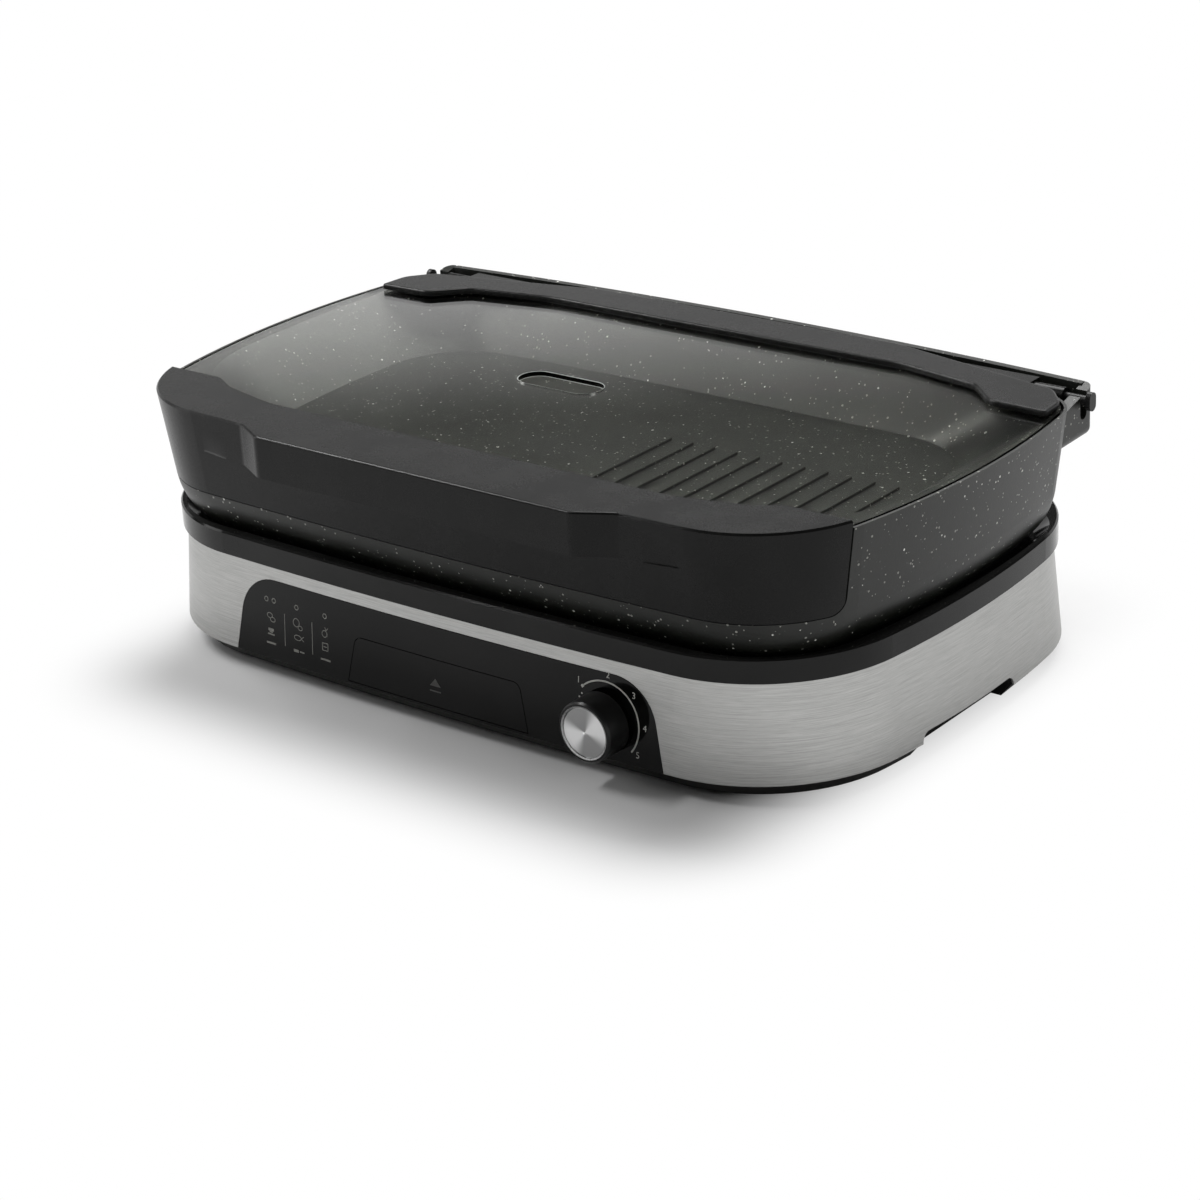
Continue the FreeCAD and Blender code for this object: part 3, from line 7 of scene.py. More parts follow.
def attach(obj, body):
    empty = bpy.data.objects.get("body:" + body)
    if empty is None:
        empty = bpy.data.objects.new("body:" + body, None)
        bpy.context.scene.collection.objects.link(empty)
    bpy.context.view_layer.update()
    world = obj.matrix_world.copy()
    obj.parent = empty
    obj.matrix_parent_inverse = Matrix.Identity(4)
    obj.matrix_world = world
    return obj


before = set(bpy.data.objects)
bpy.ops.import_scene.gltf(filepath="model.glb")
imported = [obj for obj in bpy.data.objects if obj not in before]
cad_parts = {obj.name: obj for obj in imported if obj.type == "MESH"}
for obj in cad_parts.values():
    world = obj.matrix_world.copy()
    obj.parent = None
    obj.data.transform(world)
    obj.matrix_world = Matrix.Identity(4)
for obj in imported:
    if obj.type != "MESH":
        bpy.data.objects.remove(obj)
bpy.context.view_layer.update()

# Sizes in metres, as in the solids. SHIFT is where the middle of the base stands in the frame.
SHIFT = 0.007259
BAND_LOW, BAND_TALL, BAND_LEAN = 0.011, 0.0576, 0.0052
FRONT_DEPTH, FRONT_BOW = 0.1617, 3.9
KNOB = Vector((0.118, 0, 0.032))
DIAL_ARC, DIAL_DOTS, DIAL_NUMBERS = 0.0223, 0.0196, 0.0262
PRINT_PROUD, PRINT_THICK = 0.00006, 0.0003
VENT_LONG, VENT_WIDE, VENT_TURN = 0.0586, 0.0226, 0.01125
VENT_X, VENT_Y = -0.029, -0.002 + SHIFT
ROOM_LIGHT = 0.055
CAMERA_PLACE = (1.04921, -1.29193 + SHIFT, 0.71099 + 0.011)
CAMERA_RIGHT = (0.78568, 0.61654, -0.05083)
CAMERA_UP = (-0.20383, 0.33557, 0.91970)
CAMERA_BEHIND = (0.58408, -0.71223, 0.38932)


def grey(level):
    return (level, level, level)


class Value:
    """A number, colour or vector that a finish works out over the surface."""

    def __init__(self, finish, socket):
        self.finish = finish
        self.socket = socket

    def math(self, operation, *others):
        return self.finish.worked_out(operation, self, *others)

    def __add__(self, other):
        return self.math("ADD", other)

    __radd__ = __add__

    def __sub__(self, other):
        return self.math("SUBTRACT", other)

    def __rsub__(self, other):
        return self.finish.worked_out("SUBTRACT", other, self)

    def __mul__(self, other):
        return self.math("MULTIPLY", other)

    __rmul__ = __mul__

    def above(self, low, high):
        """0 below low, 1 above high, and smooth between them."""
        ends = {"Value": self, "From Min": low, "From Max": high}
        node = self.finish.node("MapRange", {"interpolation_type": "SMOOTHSTEP"}, ends)
        return Value(self.finish, node.outputs[0])


class Finish:
    """A material built from the Principled shader."""

    def __init__(self, name, **constants):
        self.material = bpy.data.materials.new(name)
        self.material.use_nodes = True
        self.tree = self.material.node_tree
        self.shader = self.tree.nodes["Principled BSDF"]
        self.set(**constants)
        self.place = Value(self, self.node("TexCoord").outputs["Object"])

    def put(self, socket, worth):
        """Links a worked-out value to a socket, or sets a plain one."""
        if isinstance(worth, Value):
            self.tree.links.new(worth.socket, socket)
        elif isinstance(worth, (tuple, list)) and len(worth) == 3 and socket.type == "RGBA":
            socket.default_value = (*worth, 1)
        else:
            socket.default_value = worth

    def node(self, kind, settings=None, sockets=None):
        """A node of a kind, with its settings and what goes into its sockets."""
        node = self.tree.nodes.new("ShaderNode" + kind)
        for name, worth in (settings or {}).items():
            setattr(node, name, worth)
        for name, worth in (sockets or {}).items():
            self.put(node.inputs[name], worth)
        return node

    def worked_out(self, operation, *worths):
        node = self.node("Math", {"operation": operation})
        for socket, worth in zip(node.inputs, worths):
            self.put(socket, worth)
        return Value(self, node.outputs[0])

    def stretched(self, x, y, z):
        """The place on the piece with each axis on its own scale."""
        node = self.node("VectorMath", {"operation": "MULTIPLY"}, {0: self.place, 1: (x, y, z)})
        return Value(self, node.outputs[0])

    def noise(self, scale, detail=2.0, at=None, roughness=0.5):
        sockets = {"Vector": at or self.place, "Scale": scale, "Detail": detail, "Roughness": roughness}
        return Value(self, self.node("TexNoise", None, sockets).outputs["Fac"])

    def specks(self, scale, radius, share):
        """Round grains of uneven size: 1 inside a grain. Share is how many cells hold one."""
        spread = {"Vector": self.place, "Scale": scale, "Randomness": 1.0}
        cells = self.node("TexVoronoi", {"feature": "F1"}, spread)
        distance = Value(self, cells.outputs["Distance"])
        split = self.node("SeparateColor", None, {"Color": Value(self, cells.outputs["Color"])})
        chance, size = Value(self, split.outputs[0]), Value(self, split.outputs[1])
        grain = distance.math("LESS_THAN", size * radius + radius * 0.35)
        return grain * chance.math("LESS_THAN", share)

    def mixed(self, amount, first, second):
        """The first colour where the amount is 0, and the second where it is 1."""
        node = self.node("Mix", {"data_type": "RGBA"})
        self.put(node.inputs["Factor"], amount)
        for socket, worth in zip([s for s in node.inputs if s.type == "RGBA"], (first, second)):
            self.put(socket, worth)
        return Value(self, next(s for s in node.outputs if s.type == "RGBA"))

    def axes(self):
        """The place on the piece as its x, y and z."""
        split = self.node("SeparateXYZ", None, {0: self.place})
        return [Value(self, socket) for socket in split.outputs]

    def bump(self, height, depth):
        node = self.node("Bump", None, {"Height": height, "Distance": depth, "Strength": 1.0})
        self.put(self.shader.inputs["Normal"], Value(self, node.outputs[0]))

    def set(self, **varying):
        """Feeds the shader's sockets."""
        for socket, worth in varying.items():
            self.put(self.shader.inputs[socket.replace("_", " ")], worth)

    def instead(self, factor, other):
        """Lets another shader take over by a factor, and gives the finished material."""
        mix = self.node("MixShader", None, {0: factor})
        self.tree.links.new(self.shader.outputs[0], mix.inputs[1])
        self.tree.links.new(other.outputs[0], mix.inputs[2])
        self.tree.links.new(mix.outputs[0], self.tree.nodes["Material Output"].inputs["Surface"])
        return self.material


def moulded(name, colour, roughness, grain=0.00002, grain_scale=2600, spread=0.08, sheen=0.25):
    """Moulded plastic: a fine grain, and a slow change of shade and gloss."""
    finish = Finish(name, Specular_IOR_Level=sheen)
    cloud = finish.noise(35, 3)
    fine = finish.noise(grain_scale, 2)
    lighter = tuple(min(1, 1.35 * c + 0.002) for c in colour)
    finish.set(
        Base_Color=finish.mixed(cloud.above(0.3, 0.75), colour, lighter),
        Roughness=roughness - spread / 2 + cloud * spread + (fine - 0.5) * 0.06,
    )
    finish.bump(fine, grain)
    return finish.material


def lacquer(name, colour, roughness):
    """High-gloss plastic with faint dust and wiping marks in its gloss."""
    finish = Finish(name, Specular_IOR_Level=0.18, Coat_Roughness=0.03, Coat_IOR=1.35)
    wipe = finish.noise(1, 3, finish.stretched(20, 20, 160))
    dust = finish.specks(520, 0.12, 0.05)
    lighter = tuple(c + 0.004 for c in colour)
    finish.set(
        Base_Color=finish.mixed(finish.noise(24, 2).above(0.35, 0.7), colour, lighter),
        Roughness=roughness + wipe.above(0.45, 0.8) * 0.05 + dust * 0.15,
        Coat_Weight=0.05 + dust * 0.1,
    )
    finish.bump(finish.noise(60, 1), 0.00003)
    return finish.material


def brushed(name, colour, roughness, stretch, anisotropic=0.6, depth=0.000012):
    """Metal brushed along one direction, given as the scale of the lines on each axis."""
    finish = Finish(name, Metallic=1.0, Anisotropic=anisotropic)
    x, y, z = stretch
    long_lines = finish.noise(1, 3, finish.stretched(x, y, z), 0.6)
    fine_lines = finish.noise(1, 2, finish.stretched(x * 3.5, y * 3.5, z * 3.2), 0.7)
    lines = long_lines * 0.5 + fine_lines * 0.5
    dark = tuple(c * 0.72 for c in colour)
    bright = tuple(min(1, c * 1.18) for c in colour)
    finish.set(
        Base_Color=finish.mixed(lines.above(0.3, 0.7), dark, bright),
        Roughness=roughness + (lines - 0.5) * 0.22 + finish.noise(14, 2) * 0.05,
    )
    finish.bump(lines, depth)
    return finish.material


def stone_coated(name):
    """Cast metal under a speckled stone-look coating."""
    finish = Finish(name, Specular_IOR_Level=0.4)
    large = finish.specks(150, 0.11, 0.06)
    medium = finish.specks(290, 0.15, 0.14)
    small = finish.specks(520, 0.28, 0.12)
    grey = finish.specks(420, 0.2, 0.14)
    cloud = finish.noise(45, 3)
    base = finish.mixed(cloud.above(0.3, 0.7), (0.008, 0.0088, 0.007), (0.013, 0.014, 0.0115))
    dull = finish.mixed(grey, base, (0.055, 0.057, 0.05))
    pale = finish.mixed((large + medium).math("MINIMUM", 1.0), dull, (0.82, 0.82, 0.77))
    finish.set(
        Base_Color=finish.mixed(small * 0.6, pale, (0.55, 0.55, 0.5)),
        Roughness=0.30 + finish.noise(900, 2) * 0.12 + cloud * 0.05,
    )
    finish.bump(finish.noise(900, 2) + finish.noise(130, 1) * 0.6, 0.00006)
    return finish.material


def tinted_glass(name):
    """Tinted safety glass; lamps shine through it."""
    finish = Finish(name, Transmission_Weight=1.0, IOR=1.45)
    film = finish.noise(30, 3)
    finish.set(
        Base_Color=finish.mixed(film.above(0.3, 0.75), (0.70, 0.71, 0.68), (0.74, 0.75, 0.72)),
        Roughness=0.004 + film.above(0.5, 0.8) * 0.012,
    )
    clear = finish.node("BsdfTransparent", None, {"Color": (0.72, 0.72, 0.7)})
    shadow = Value(finish, finish.node("LightPath").outputs["Is Shadow Ray"])
    return finish.instead(shadow, clear)


def spun_metal(name, centre):
    """Metal turned on a lathe: fine rings about the knob's axis, and a painted highlight as bright sectors
    in its colour.
    """
    finish = Finish(name, Metallic=1.0)
    x, y, z = finish.axes()
    across = x - centre.x
    up = z - centre.z
    radius = (across * across + up * up).math("SQRT")
    ring_at = finish.node("CombineXYZ", None, {0: radius * 5200})
    rings = finish.noise(1, 2, Value(finish, ring_at.outputs[0]))
    # Painted highlight: the colour runs lighter in two opposite bright sectors round the cap, standing in
    # for the spun metal's reflection.
    angle = up.math("ARCTAN2", across)
    painted_highlight_lobes = (angle * 2 + 0.7).math("SINE") * 0.5 + 0.5
    finish.set(
        Base_Color=finish.mixed(painted_highlight_lobes.above(0.25, 0.95), grey(0.34), grey(0.92)),
        Roughness=0.3 + rings * 0.2,
    )
    finish.bump(rings, 0.00004)
    return finish.material


def printed(name, colour):
    """Printed ink, a little uneven."""
    finish = Finish(name)
    ink = finish.noise(1500, 2)
    darker = tuple(c * 0.85 for c in colour)
    finish.set(Base_Color=finish.mixed(ink.above(0.3, 0.7), darker, colour), Roughness=0.5 + ink * 0.1)
    return finish.material


def sheet_metal(name, colour, roughness):
    """Plain rolled sheet, a little stained by heat."""
    finish = Finish(name, Metallic=1.0)
    cloud = finish.noise(26, 4)
    rolled = finish.noise(1, 3, finish.stretched(30, 900, 900))
    stained = tuple(c * k for c, k in zip(colour, (0.7, 0.62, 0.52)))
    finish.set(
        Base_Color=finish.mixed(cloud.above(0.45, 0.8), colour, stained),
        Roughness=roughness + rolled * 0.12 + cloud * 0.08,
    )
    finish.bump(rolled, 0.00001)
    return finish.material


STEEL = brushed("band_steel", (0.43, 0.43, 0.42), 0.30, (28, 28, 2800))
FRAME_BLACK = moulded("lid_frame_black", (0.0045, 0.0045, 0.0042), 0.27, sheen=0.18)
SHELL_BLACK = moulded("shell_black", (0.011, 0.011, 0.010), 0.36)
GLOSS = lacquer("gloss_black", (0.0022, 0.0022, 0.002), 0.06)
RIM_GLOSS = lacquer("rim_black", (0.010, 0.010, 0.0095), 0.1)
KNOB_BLACK = moulded("knob_black", grey(0.01), 0.3)
RUBBER = moulded("foot_rubber", grey(0.016), 0.75, 0.00005, 1400)
SEAL = moulded("seal_rubber", grey(0.02), 0.6, 0.00003, 1800)
CERAMIC = moulded("bead_ceramic", (0.74, 0.71, 0.64), 0.4, 0.00003, 900)
ZINC = brushed("zinc_steel", (0.62, 0.62, 0.63), 0.35, (900, 900, 60), 0.0)
SHEET = sheet_metal("pan_sheet", (0.62, 0.62, 0.61), 0.32)
TUBE = sheet_metal("element_steel", (0.23, 0.21, 0.19), 0.42)
ROD_METAL = moulded("rod_black", grey(0.014), 0.34, 0.00001)
STONE = stone_coated("stone_coating")
GLASS = tinted_glass("lid_glass_tint")
SPUN = spun_metal("spun_cap", KNOB)
# Pale colour of the vent wires: a painted highlight of the glass edge.
VENT_EDGE_HIGHLIGHT = moulded("vent_edge_painted_highlight", (0.42, 0.44, 0.42), 0.25, 0.00001, 2200)
BEZEL = brushed("bezel_metal", grey(0.35), 0.25, grey(200), 0.0)
INK = printed("pale_print", (0.62, 0.62, 0.58))
FAINT_INK = printed("faint_print", (0.05, 0.05, 0.047))
DIM_INK = printed("dim_print", (0.22, 0.22, 0.2))

FINISHES = {
    "base_shell": SHELL_BLACK, "steel_band": STEEL, "control_panel": GLOSS, "drawer_front": GLOSS,
    "foot_front_left": RUBBER, "foot_front_right": RUBBER,
    "foot_rear_left": RUBBER, "foot_rear_right": RUBBER,
    "rim_ring": RIM_GLOSS, "bottom_screws": ZINC, "drawer_tray": SHELL_BLACK,
    "drawer_rail_right": SHELL_BLACK, "drawer_rail_left": SHELL_BLACK,
    "knob_body": KNOB_BLACK, "knob_cap": SPUN, "knob_bezel": BEZEL, "knob_shaft": ZINC,
    "thermostat": SHELL_BLACK, "reflector_pan": SHEET, "heating_element": TUBE, "element_beads": CERAMIC,
    "element_bracket_right": SHEET, "element_bracket_left": SHEET, "drain_funnel": SHEET,
    "cord_gland": RUBBER, "terminal_block": CERAMIC, "grill_plate": STONE, "hinge_rod": ROD_METAL,
    "rod_tab_right": ROD_METAL, "rod_tab_left": ROD_METAL, "lid_glass": GLASS,
    "front_frame": FRAME_BLACK, "rear_frame": FRAME_BLACK, "front_seal": SEAL, "rear_seal": SEAL,
}
for node_name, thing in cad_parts.items():
    thing.data.materials.clear()
    thing.data.materials.append(FINISHES.get(node_name, SHELL_BLACK))


def piece_of(name, mesh, material, body):
    """A finished piece from its mesh, riding on a body."""
    made = bmesh.new()
    made.from_mesh(mesh)
    bmesh.ops.remove_doubles(made, verts=made.verts, dist=1e-7)
    bmesh.ops.recalc_face_normals(made, faces=made.faces)
    made.to_mesh(mesh)
    made.free()
    thing = bpy.data.objects.new(name, mesh)
    bpy.context.scene.collection.objects.link(thing)
    thing.data.materials.clear()
    thing.data.materials.append(material)
    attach(thing, body)
    return thing


def mesh_of(name, verts, faces):
    mesh = bpy.data.meshes.new(name)
    mesh.from_pydata(verts, [], faces)
    return mesh


def panel_y(x, z, proud=0.0):
    """Depth of the base's leaning, bowed front face."""
    radius = FRONT_BOW - BAND_LEAN * (z - BAND_LOW) / BAND_TALL + proud
    return SHIFT + FRONT_BOW - FRONT_DEPTH - math.sqrt(radius**2 - x**2)


def laid_on_panel(name, strips, material, body):
    """Thin print on the front face. Strips are closed outlines of (x, z) points, in metres."""
    verts, faces = [], []
    for outline in strips:
        first = len(verts)
        count = len(outline)
        for lift in (PRINT_PROUD, PRINT_PROUD - PRINT_THICK):
            verts += [(x, panel_y(x, z, lift), z) for x, z in outline]
        faces.append([first + i for i in range(count)])
        faces.append([first + count + i for i in reversed(range(count))])
        for i in range(count):
            j = (i + 1) % count
            faces.append([first + j, first + i, first + count + i, first + count + j])
    return piece_of(name, mesh_of(name, verts, faces), material, body)


def bar(x1, z1, x2, z2, width):
    """A straight stroke as four corners."""
    along = Vector((x2 - x1, z2 - z1)).normalized()
    side = Vector((-along.y, along.x)) * width / 2
    start, end = Vector((x1, z1)), Vector((x2, z2))
    return [tuple(p) for p in (start + side, start - side, end - side, end + side)]


def stroke(points, width, closed=False):
    """A line through points as short quads."""
    pairs = list(zip(points, points[1:]))
    if closed:
        pairs.append((points[-1], points[0]))
    return [bar(*a, *b, width) for a, b in pairs]


def round_points(x, z, radius, start=0.0, end=360.0, count=24, squash=1.0):
    """Points along an arc or a whole ring, from start to end in degrees, lower by a squash."""
    total = count + (end - start < 360)
    steps = [math.radians(start + (end - start) * i / count) for i in range(total)]
    return [(x + radius * math.cos(a), z + radius * squash * math.sin(a)) for a in steps]


def round_the_knob(angle, radius):
    """A place round the knob, at an angle in degrees."""
    turn = math.radians(angle)
    return KNOB.x + radius * math.cos(turn), KNOB.z + radius * math.sin(turn)


def dial_scale():
    """The arc round the knob, its heavier start and two dots before it."""
    strips = stroke(round_points(KNOB.x, KNOB.z, DIAL_ARC, -38, 129.5, 60), 0.0009)
    strips += stroke(round_points(KNOB.x, KNOB.z, DIAL_ARC, 129.5, 134, 3), 0.0016)
    strips += [round_points(*round_the_knob(angle, DIAL_DOTS), 0.0006, count=14) for angle in (141, 149)]
    return laid_on_panel("dial_arc", strips, INK, "base")


def numerals():
    """Plain numbers 1 to 5 round the dial, as outlines turned to mesh."""
    verts, faces = [], []
    for text, angle in {"1": 132, "2": 86, "3": 44, "4": 3, "5": -34}.items():
        curve = bpy.data.curves.new("numeral", "FONT")
        curve.body = text
        curve.size = 0.0052
        curve.align_x = "CENTER"
        curve.align_y = "CENTER"
        flat = bpy.data.objects.new("numeral", curve)
        mesh = bpy.data.meshes.new_from_object(flat)
        x0, z0 = round_the_knob(angle, DIAL_NUMBERS)
        first = len(verts)
        for vert in mesh.vertices:
            x, z = x0 + vert.co.x, z0 + vert.co.y
            verts.append((x, panel_y(x, z, PRINT_PROUD), z))
        faces += [[first + i for i in face.vertices] for face in mesh.polygons]
        bpy.data.objects.remove(flat)
    return piece_of("dial_numbers", mesh_of("dial_numbers", verts, faces), INK, "base")


dial_scale()
numerals()


def cook_marks():
    """Generic guide marks at the left of the panel. Heights count from the steel band's lower edge."""
    thin = 0.00045
    # Rings: x, height, radius, points, squash and line width
    rings = [(x, 0.036, 0.0014, 14, 1.0, 0.0006) for x in (-0.1309, -0.1249, -0.1064, -0.0839)]
    rings += [
        # a leaf pair
        (-0.1285, 0.0265, 0.0022, 12, 0.7, thin),
        (-0.1262, 0.0242, 0.0020, 12, 0.7, thin),
        # a drumstick
        (-0.1069, 0.0268, 0.0025, 14, 1.0, thin),
        (-0.1038, 0.0240, 0.0017, 12, 0.8, thin),
        # a fish's body
        (-0.1060, 0.0178, 0.0028, 16, 0.55, thin),
        # a carrot's body
        (-0.0843, 0.0252, 0.0020, 12, 1.0, thin),
    ]
    # Bars: from x and height to x and height, and width
    bars = [(x, 0.0105, x, 0.030, thin) for x in (-0.1164, -0.0942)]
    bars += [(x - 0.0038, 0.0096, x + 0.0038, 0.0096, 0.0011) for x in (-0.1279, -0.0839)]
    bars += [
        (-0.1095, 0.0096, -0.1055, 0.0096, 0.0016),
        (-0.1045, 0.0096, -0.1010, 0.0096, 0.0008),
        # a skewer
        (-0.1305, 0.0150, -0.1250, 0.0150, 0.0009),
        (-0.1300, 0.0178, -0.1255, 0.0178, 0.0016),
        (-0.1290, 0.0164, -0.1265, 0.0164, 0.0009),
        # the fish's tail
        (-0.1033, 0.0178, -0.1012, 0.0192, thin),
        (-0.1033, 0.0178, -0.1012, 0.0164, thin),
        # the carrot's leaves
        (-0.0832, 0.0272, -0.0815, 0.0290, thin),
        (-0.0832, 0.0272, -0.0840, 0.0292, thin),
        # the crumb of a slice of bread
        (-0.0855, 0.0174, -0.0825, 0.0174, thin),
    ]
    crust = [(-0.0862, 0.0152), (-0.0818, 0.0152), (-0.0818, 0.0196), (-0.0862, 0.0196)]
    strips = stroke([(x, BAND_LOW + z) for x, z in crust], thin, closed=True)
    for x, z, radius, count, squash, width in rings:
        ring = round_points(x, BAND_LOW + z, radius, count=count, squash=squash)
        strips += stroke(ring, width, closed=True)
    for x1, z1, x2, z2, width in bars:
        strips.append(bar(x1, BAND_LOW + z1, x2, BAND_LOW + z2, width))
    return laid_on_panel("cook_marks", strips, DIM_INK, "base")


cook_marks()
eject = [[(-0.004, 0.0245), (0.004, 0.0245), (0, 0.029)], bar(-0.004, 0.0216, 0.004, 0.0216, 0.0008)]
laid_on_panel("eject_mark", eject, FAINT_INK, "drawer")


class Maker:
    """A Geometry Nodes tree with named inputs, run once into a plain mesh."""

    def __init__(self, name):
        self.tree = bpy.data.node_groups.new(name, "GeometryNodeTree")
        self.tree.interface.new_socket("Geometry", in_out="OUTPUT", socket_type="NodeSocketGeometry")
        self.inputs = self.tree.nodes.new("NodeGroupInput")
        self.settings = {}

    def input(self, name, worth, kind="NodeSocketFloat"):
        """A named input of the tree, with what it is set to on the modifier."""
        socket = self.tree.interface.new_socket(name, in_out="INPUT", socket_type=kind)
        self.settings[socket.identifier] = worth
        return self.inputs.outputs[name]

    def node(self, kind, settings=None, sockets=None):
        node = self.tree.nodes.new("GeometryNode" + kind)
        for name, worth in (settings or {}).items():
            setattr(node, name, worth)
        for name, worth in (sockets or {}).items():
            if isinstance(worth, bpy.types.NodeSocket):
                self.tree.links.new(worth, node.inputs[name])
            else:
                node.inputs[name].default_value = worth
        return node

    def mesh(self, geometry, material):
        """Ends the tree and gives the plain mesh that it makes."""
        plain = self.node("RealizeInstances", None, {"Geometry": geometry})
        dressed = self.node("SetMaterial", None, {"Geometry": plain.outputs[0], "Material": material})
        result = self.tree.nodes.new("NodeGroupOutput")
        self.tree.links.new(dressed.outputs[0], result.inputs[0])
        name = self.tree.name
        carrier = bpy.data.objects.new(name, bpy.data.meshes.new(name))
        bpy.context.scene.collection.objects.link(carrier)
        modifier = carrier.modifiers.new("make", "NODES")
        modifier.node_group = self.tree
        for identifier, worth in self.settings.items():
            modifier[identifier] = worth
        seen = carrier.evaluated_get(bpy.context.evaluated_depsgraph_get())
        mesh = bpy.data.meshes.new_from_object(seen)
        bpy.data.objects.remove(carrier)
        return mesh


def vent_ring(name, z, thick):
    """A pale wire that follows the outline of the lid's vent hole: a painted highlight along the glass
    edge.
    """
    make = Maker(name)
    length = make.input("Length", VENT_LONG)
    width = make.input("Width", VENT_WIDE)
    turn = make.input("End radius", VENT_TURN)
    wire = make.input("Wire radius", thick)
    place = make.input("Place", (VENT_X, VENT_Y, z), "NodeSocketVector")
    outline = make.node("CurvePrimitiveQuadrilateral", None, {"Width": length, "Height": width})
    ends = {"Curve": outline.outputs[0], "Radius": turn, "Count": 14}
    rounded = make.node("FilletCurve", {"mode": "POLY"}, ends)
    section = make.node("CurvePrimitiveCircle", None, {"Radius": wire, "Resolution": 8})
    both = {"Curve": rounded.outputs[0], "Profile Curve": section.outputs[0]}
    tube = make.node("CurveToMesh", None, both)
    moved = make.node("Transform", None, {"Geometry": tube.outputs[0], "Translation": place})
    return piece_of(name, make.mesh(moved.outputs[0], VENT_EDGE_HIGHLIGHT), VENT_EDGE_HIGHLIGHT, "lid")


# Two pale wires, at the glass's top and lower faces, paint the vent edge's highlight.
vent_ring("vent_edge_top", 0.1498, 0.00028)
vent_ring("vent_edge_low", 0.1468, 0.0002)


def ledge_end(name, side):
    """Eases the step where the end of the lid's ledge stands off the leaning wall."""
    start, end, across = 0.1485, 0.172, 24
    low, high, tall = 0.12985, 0.149, 12
    # the ledge's face at the start, the wall's at the end, and how each recedes along x
    ledge_y, ledge_recedes = -0.15135, 0.0875
    wall_y, wall_recedes, wall_lean = -0.15069, 0.0375, 0.1278
    thick = 0.0015
    span = end - start
    verts, faces = [], []
    for back in (0.0, thick):
        for j in range(tall + 1):
            z = low + (high - low) * j / tall
            wall = wall_y + (high - z) * wall_lean
            for i in range(across + 1):
                t = i / across
                share = 3 * t**2 - 2 * t**3
                rise = (t * (1 - t) ** 2 * ledge_recedes + t**2 * (t - 1) * wall_recedes) * span
                y = ledge_y * (1 - share) + wall * share + rise
                verts.append((side * (start + span * t), y + back, z))
    row, sheet = across + 1, (across + 1) * (tall + 1)
    for j in range(tall):
        for i in range(across):
            a = j * row + i
            quad = [a, a + 1, a + row + 1, a + row]
            faces += [quad, [sheet + k for k in reversed(quad)]]
    rim = [i for i in range(across)] + [j * row + across for j in range(tall)]
    rim += [tall * row + i for i in range(across, 0, -1)] + [j * row for j in range(tall, 0, -1)]
    for a, b in zip(rim, rim[1:] + rim[:1]):
        faces.append([b, a, sheet + a, sheet + b])
    mesh = mesh_of(name, verts, faces)
    for polygon in mesh.polygons:
        polygon.use_smooth = len(set(v // sheet for v in polygon.vertices)) == 1
    return piece_of(name, mesh, FRAME_BLACK, "lid")


ledge_end("ledge_end_right", 1)
ledge_end("ledge_end_left", -1)


# Stage: floor, lamps, world and camera
def plain_floor():
    """A pale floor that turns white round the object, beyond the object's shadow."""
    half = 9.0
    corners = [(-half, -half, 0), (half, -half, 0), (half, half, 0), (-half, half, 0)]
    mesh = mesh_of("floor", corners, [(0, 1, 2, 3)])
    floor = bpy.data.objects.new("floor", mesh)
    bpy.context.scene.collection.objects.link(floor)
    finish = Finish("floor_white", Roughness=0.7, Specular_IOR_Level=0.1)
    paper = finish.noise(3, 2)
    finish.set(Base_Color=finish.mixed(paper, grey(0.71), grey(0.73)))
    x, y, z = finish.axes()
    aside = x.math("ABSOLUTE")
    out_x = (aside - 0.172).math("MAXIMUM", 0.0)
    out_y = (y.math("ABSOLUTE") - 0.168).math("MAXIMUM", 0.0)
    outside = (out_x * out_x + out_y * out_y).math("SQRT")
    near = outside.above(0.008, 0.105)
    far = (outside + aside * 0.8).above(0.24, 0.5)
    glow = finish.node("Emission", None, {"Color": (1, 1, 1), "Strength": 1.0})
    path = finish.node("LightPath")
    straight = Value(finish, path.outputs["Is Camera Ray"])
    through = Value(finish, path.outputs["Is Transmission Ray"])
    glossy = Value(finish, path.outputs["Is Glossy Ray"])
    white = (straight + through) * near + glossy * far
    mesh.materials.append(finish.instead(white.math("MINIMUM", 1.0), glow))


def lamp(name, place, target, width, height, power):
    """A rectangular lamp that faces a target, with its power in watts."""
    light = bpy.data.lights.new(name, "AREA")
    light.shape = "RECTANGLE"
    light.size = width
    light.size_y = height
    light.energy = power
    thing = bpy.data.objects.new(name, light)
    bpy.context.scene.collection.objects.link(thing)
    thing.location = place
    thing.rotation_euler = (Vector(target) - Vector(place)).to_track_quat("-Z", "Y").to_euler()


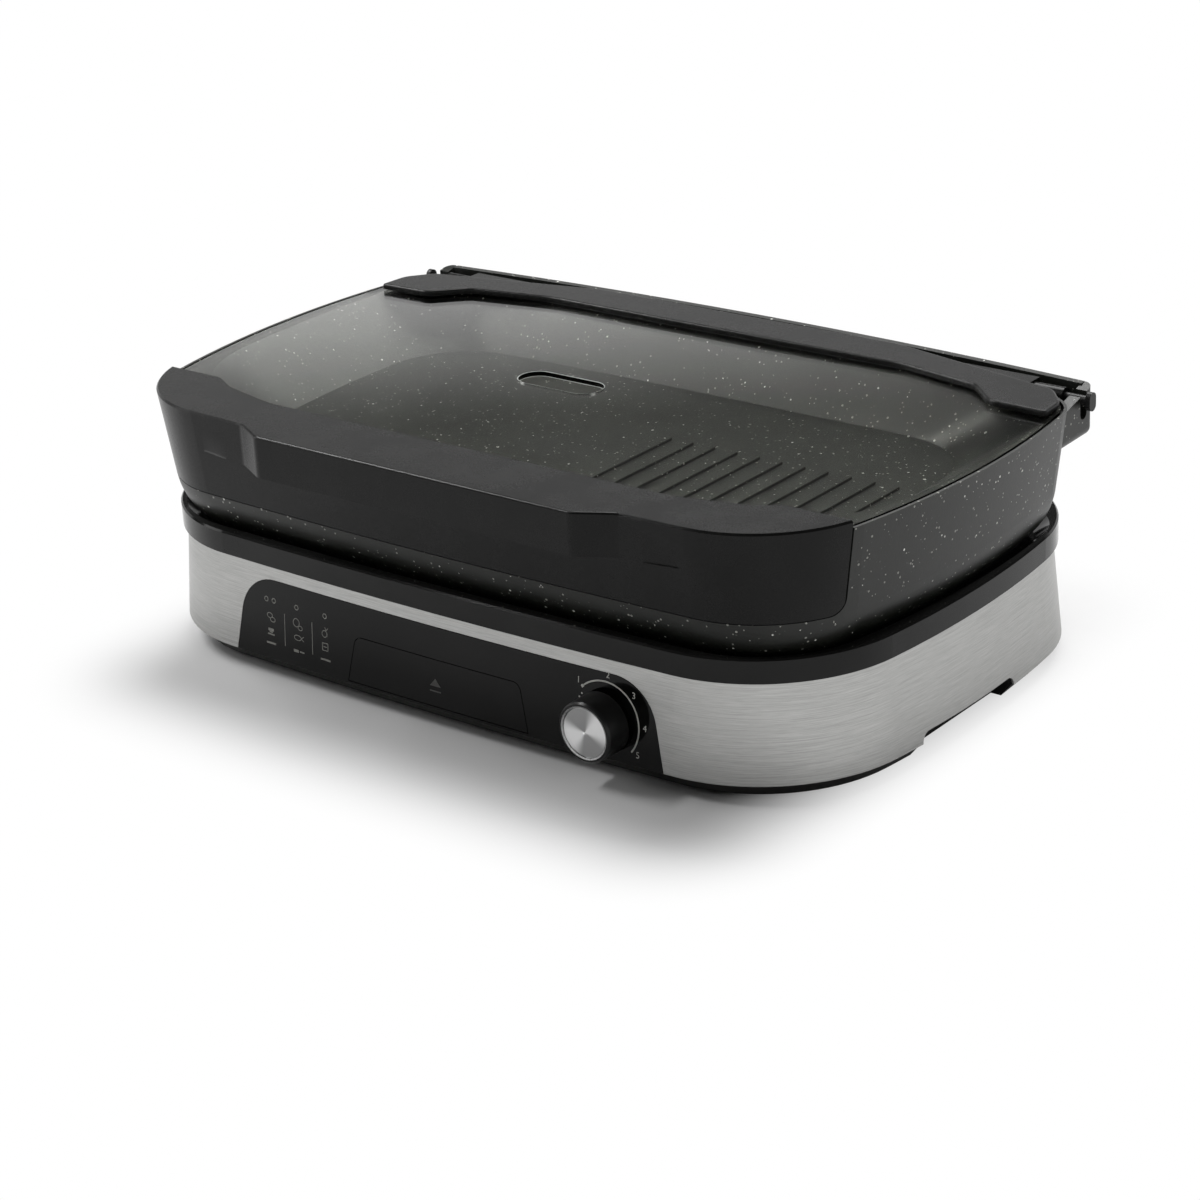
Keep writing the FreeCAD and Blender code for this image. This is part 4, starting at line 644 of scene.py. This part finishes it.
def studio():
    """Dim light all round, and a white backdrop, seen but giving no light, that ends above the horizon."""
    world = bpy.data.worlds.new("studio")
    bpy.context.scene.world = world
    world.use_nodes = True
    nodes, links = world.node_tree.nodes, world.node_tree.links
    back = nodes["Background"]
    back.inputs["Color"].default_value = (1, 1, 1, 1)
    path = nodes.new("ShaderNodeLightPath")
    seen = path.outputs["Is Camera Ray"]
    for kind in ("Is Glossy Ray", "Is Transmission Ray"):
        either = nodes.new("ShaderNodeMath")
        either.operation = "MAXIMUM"
        links.new(seen, either.inputs[0])
        links.new(path.outputs[kind], either.inputs[1])
        seen = either.outputs[0]
    way = nodes.new("ShaderNodeTexCoord")
    split = nodes.new("ShaderNodeSeparateXYZ")
    links.new(way.outputs["Generated"], split.inputs[0])
    backdrop = nodes.new("ShaderNodeMapRange")
    backdrop.interpolation_type = "SMOOTHSTEP"
    ends = {"From Min": 0.283, "From Max": 0.336, "To Min": 1.0, "To Max": ROOM_LIGHT}
    for socket, worth in ends.items():
        backdrop.inputs[socket].default_value = worth
    links.new(split.outputs["Z"], backdrop.inputs["Value"])
    level = nodes.new("ShaderNodeMapRange")
    level.inputs["To Min"].default_value = ROOM_LIGHT
    links.new(seen, level.inputs["Value"])
    links.new(backdrop.outputs[0], level.inputs["To Max"])
    links.new(level.outputs[0], back.inputs["Strength"])


def place_camera():
    data = bpy.data.cameras.new("camera")
    data.lens = 91.43
    data.sensor_width = 36
    data.clip_end = 50
    camera = bpy.data.objects.new("camera", data)
    bpy.context.scene.collection.objects.link(camera)
    turn = Matrix((CAMERA_RIGHT, CAMERA_UP, CAMERA_BEHIND)).transposed().to_4x4()
    camera.matrix_world = Matrix.Translation(CAMERA_PLACE) @ turn
    bpy.context.scene.camera = camera


plain_floor()
lamp("key_above_rear", (-0.25, 1.2, 2.15), (0, 0, 0), 1.9, 1.4, 66)
lamp("rear_soft", (-0.1, 2.5, 2.1), (0, 0, 0.1), 1.5, 0.7, 16)
lamp("left_soft", (-2.3, -1.2, 1.1), (0, 0, 0.08), 1.3, 1.2, 12)
lamp("edge_light", (-1.5, -0.3, 1.8), (0, 0, 0.15), 1.5, 0.2, 30)
lamp("right_soft", (2.4, -0.2, 1.4), (0, 0, 0.08), 1.2, 1.2, 6)
studio()
place_camera()
bpy.context.scene.view_settings.view_transform = "Standard"
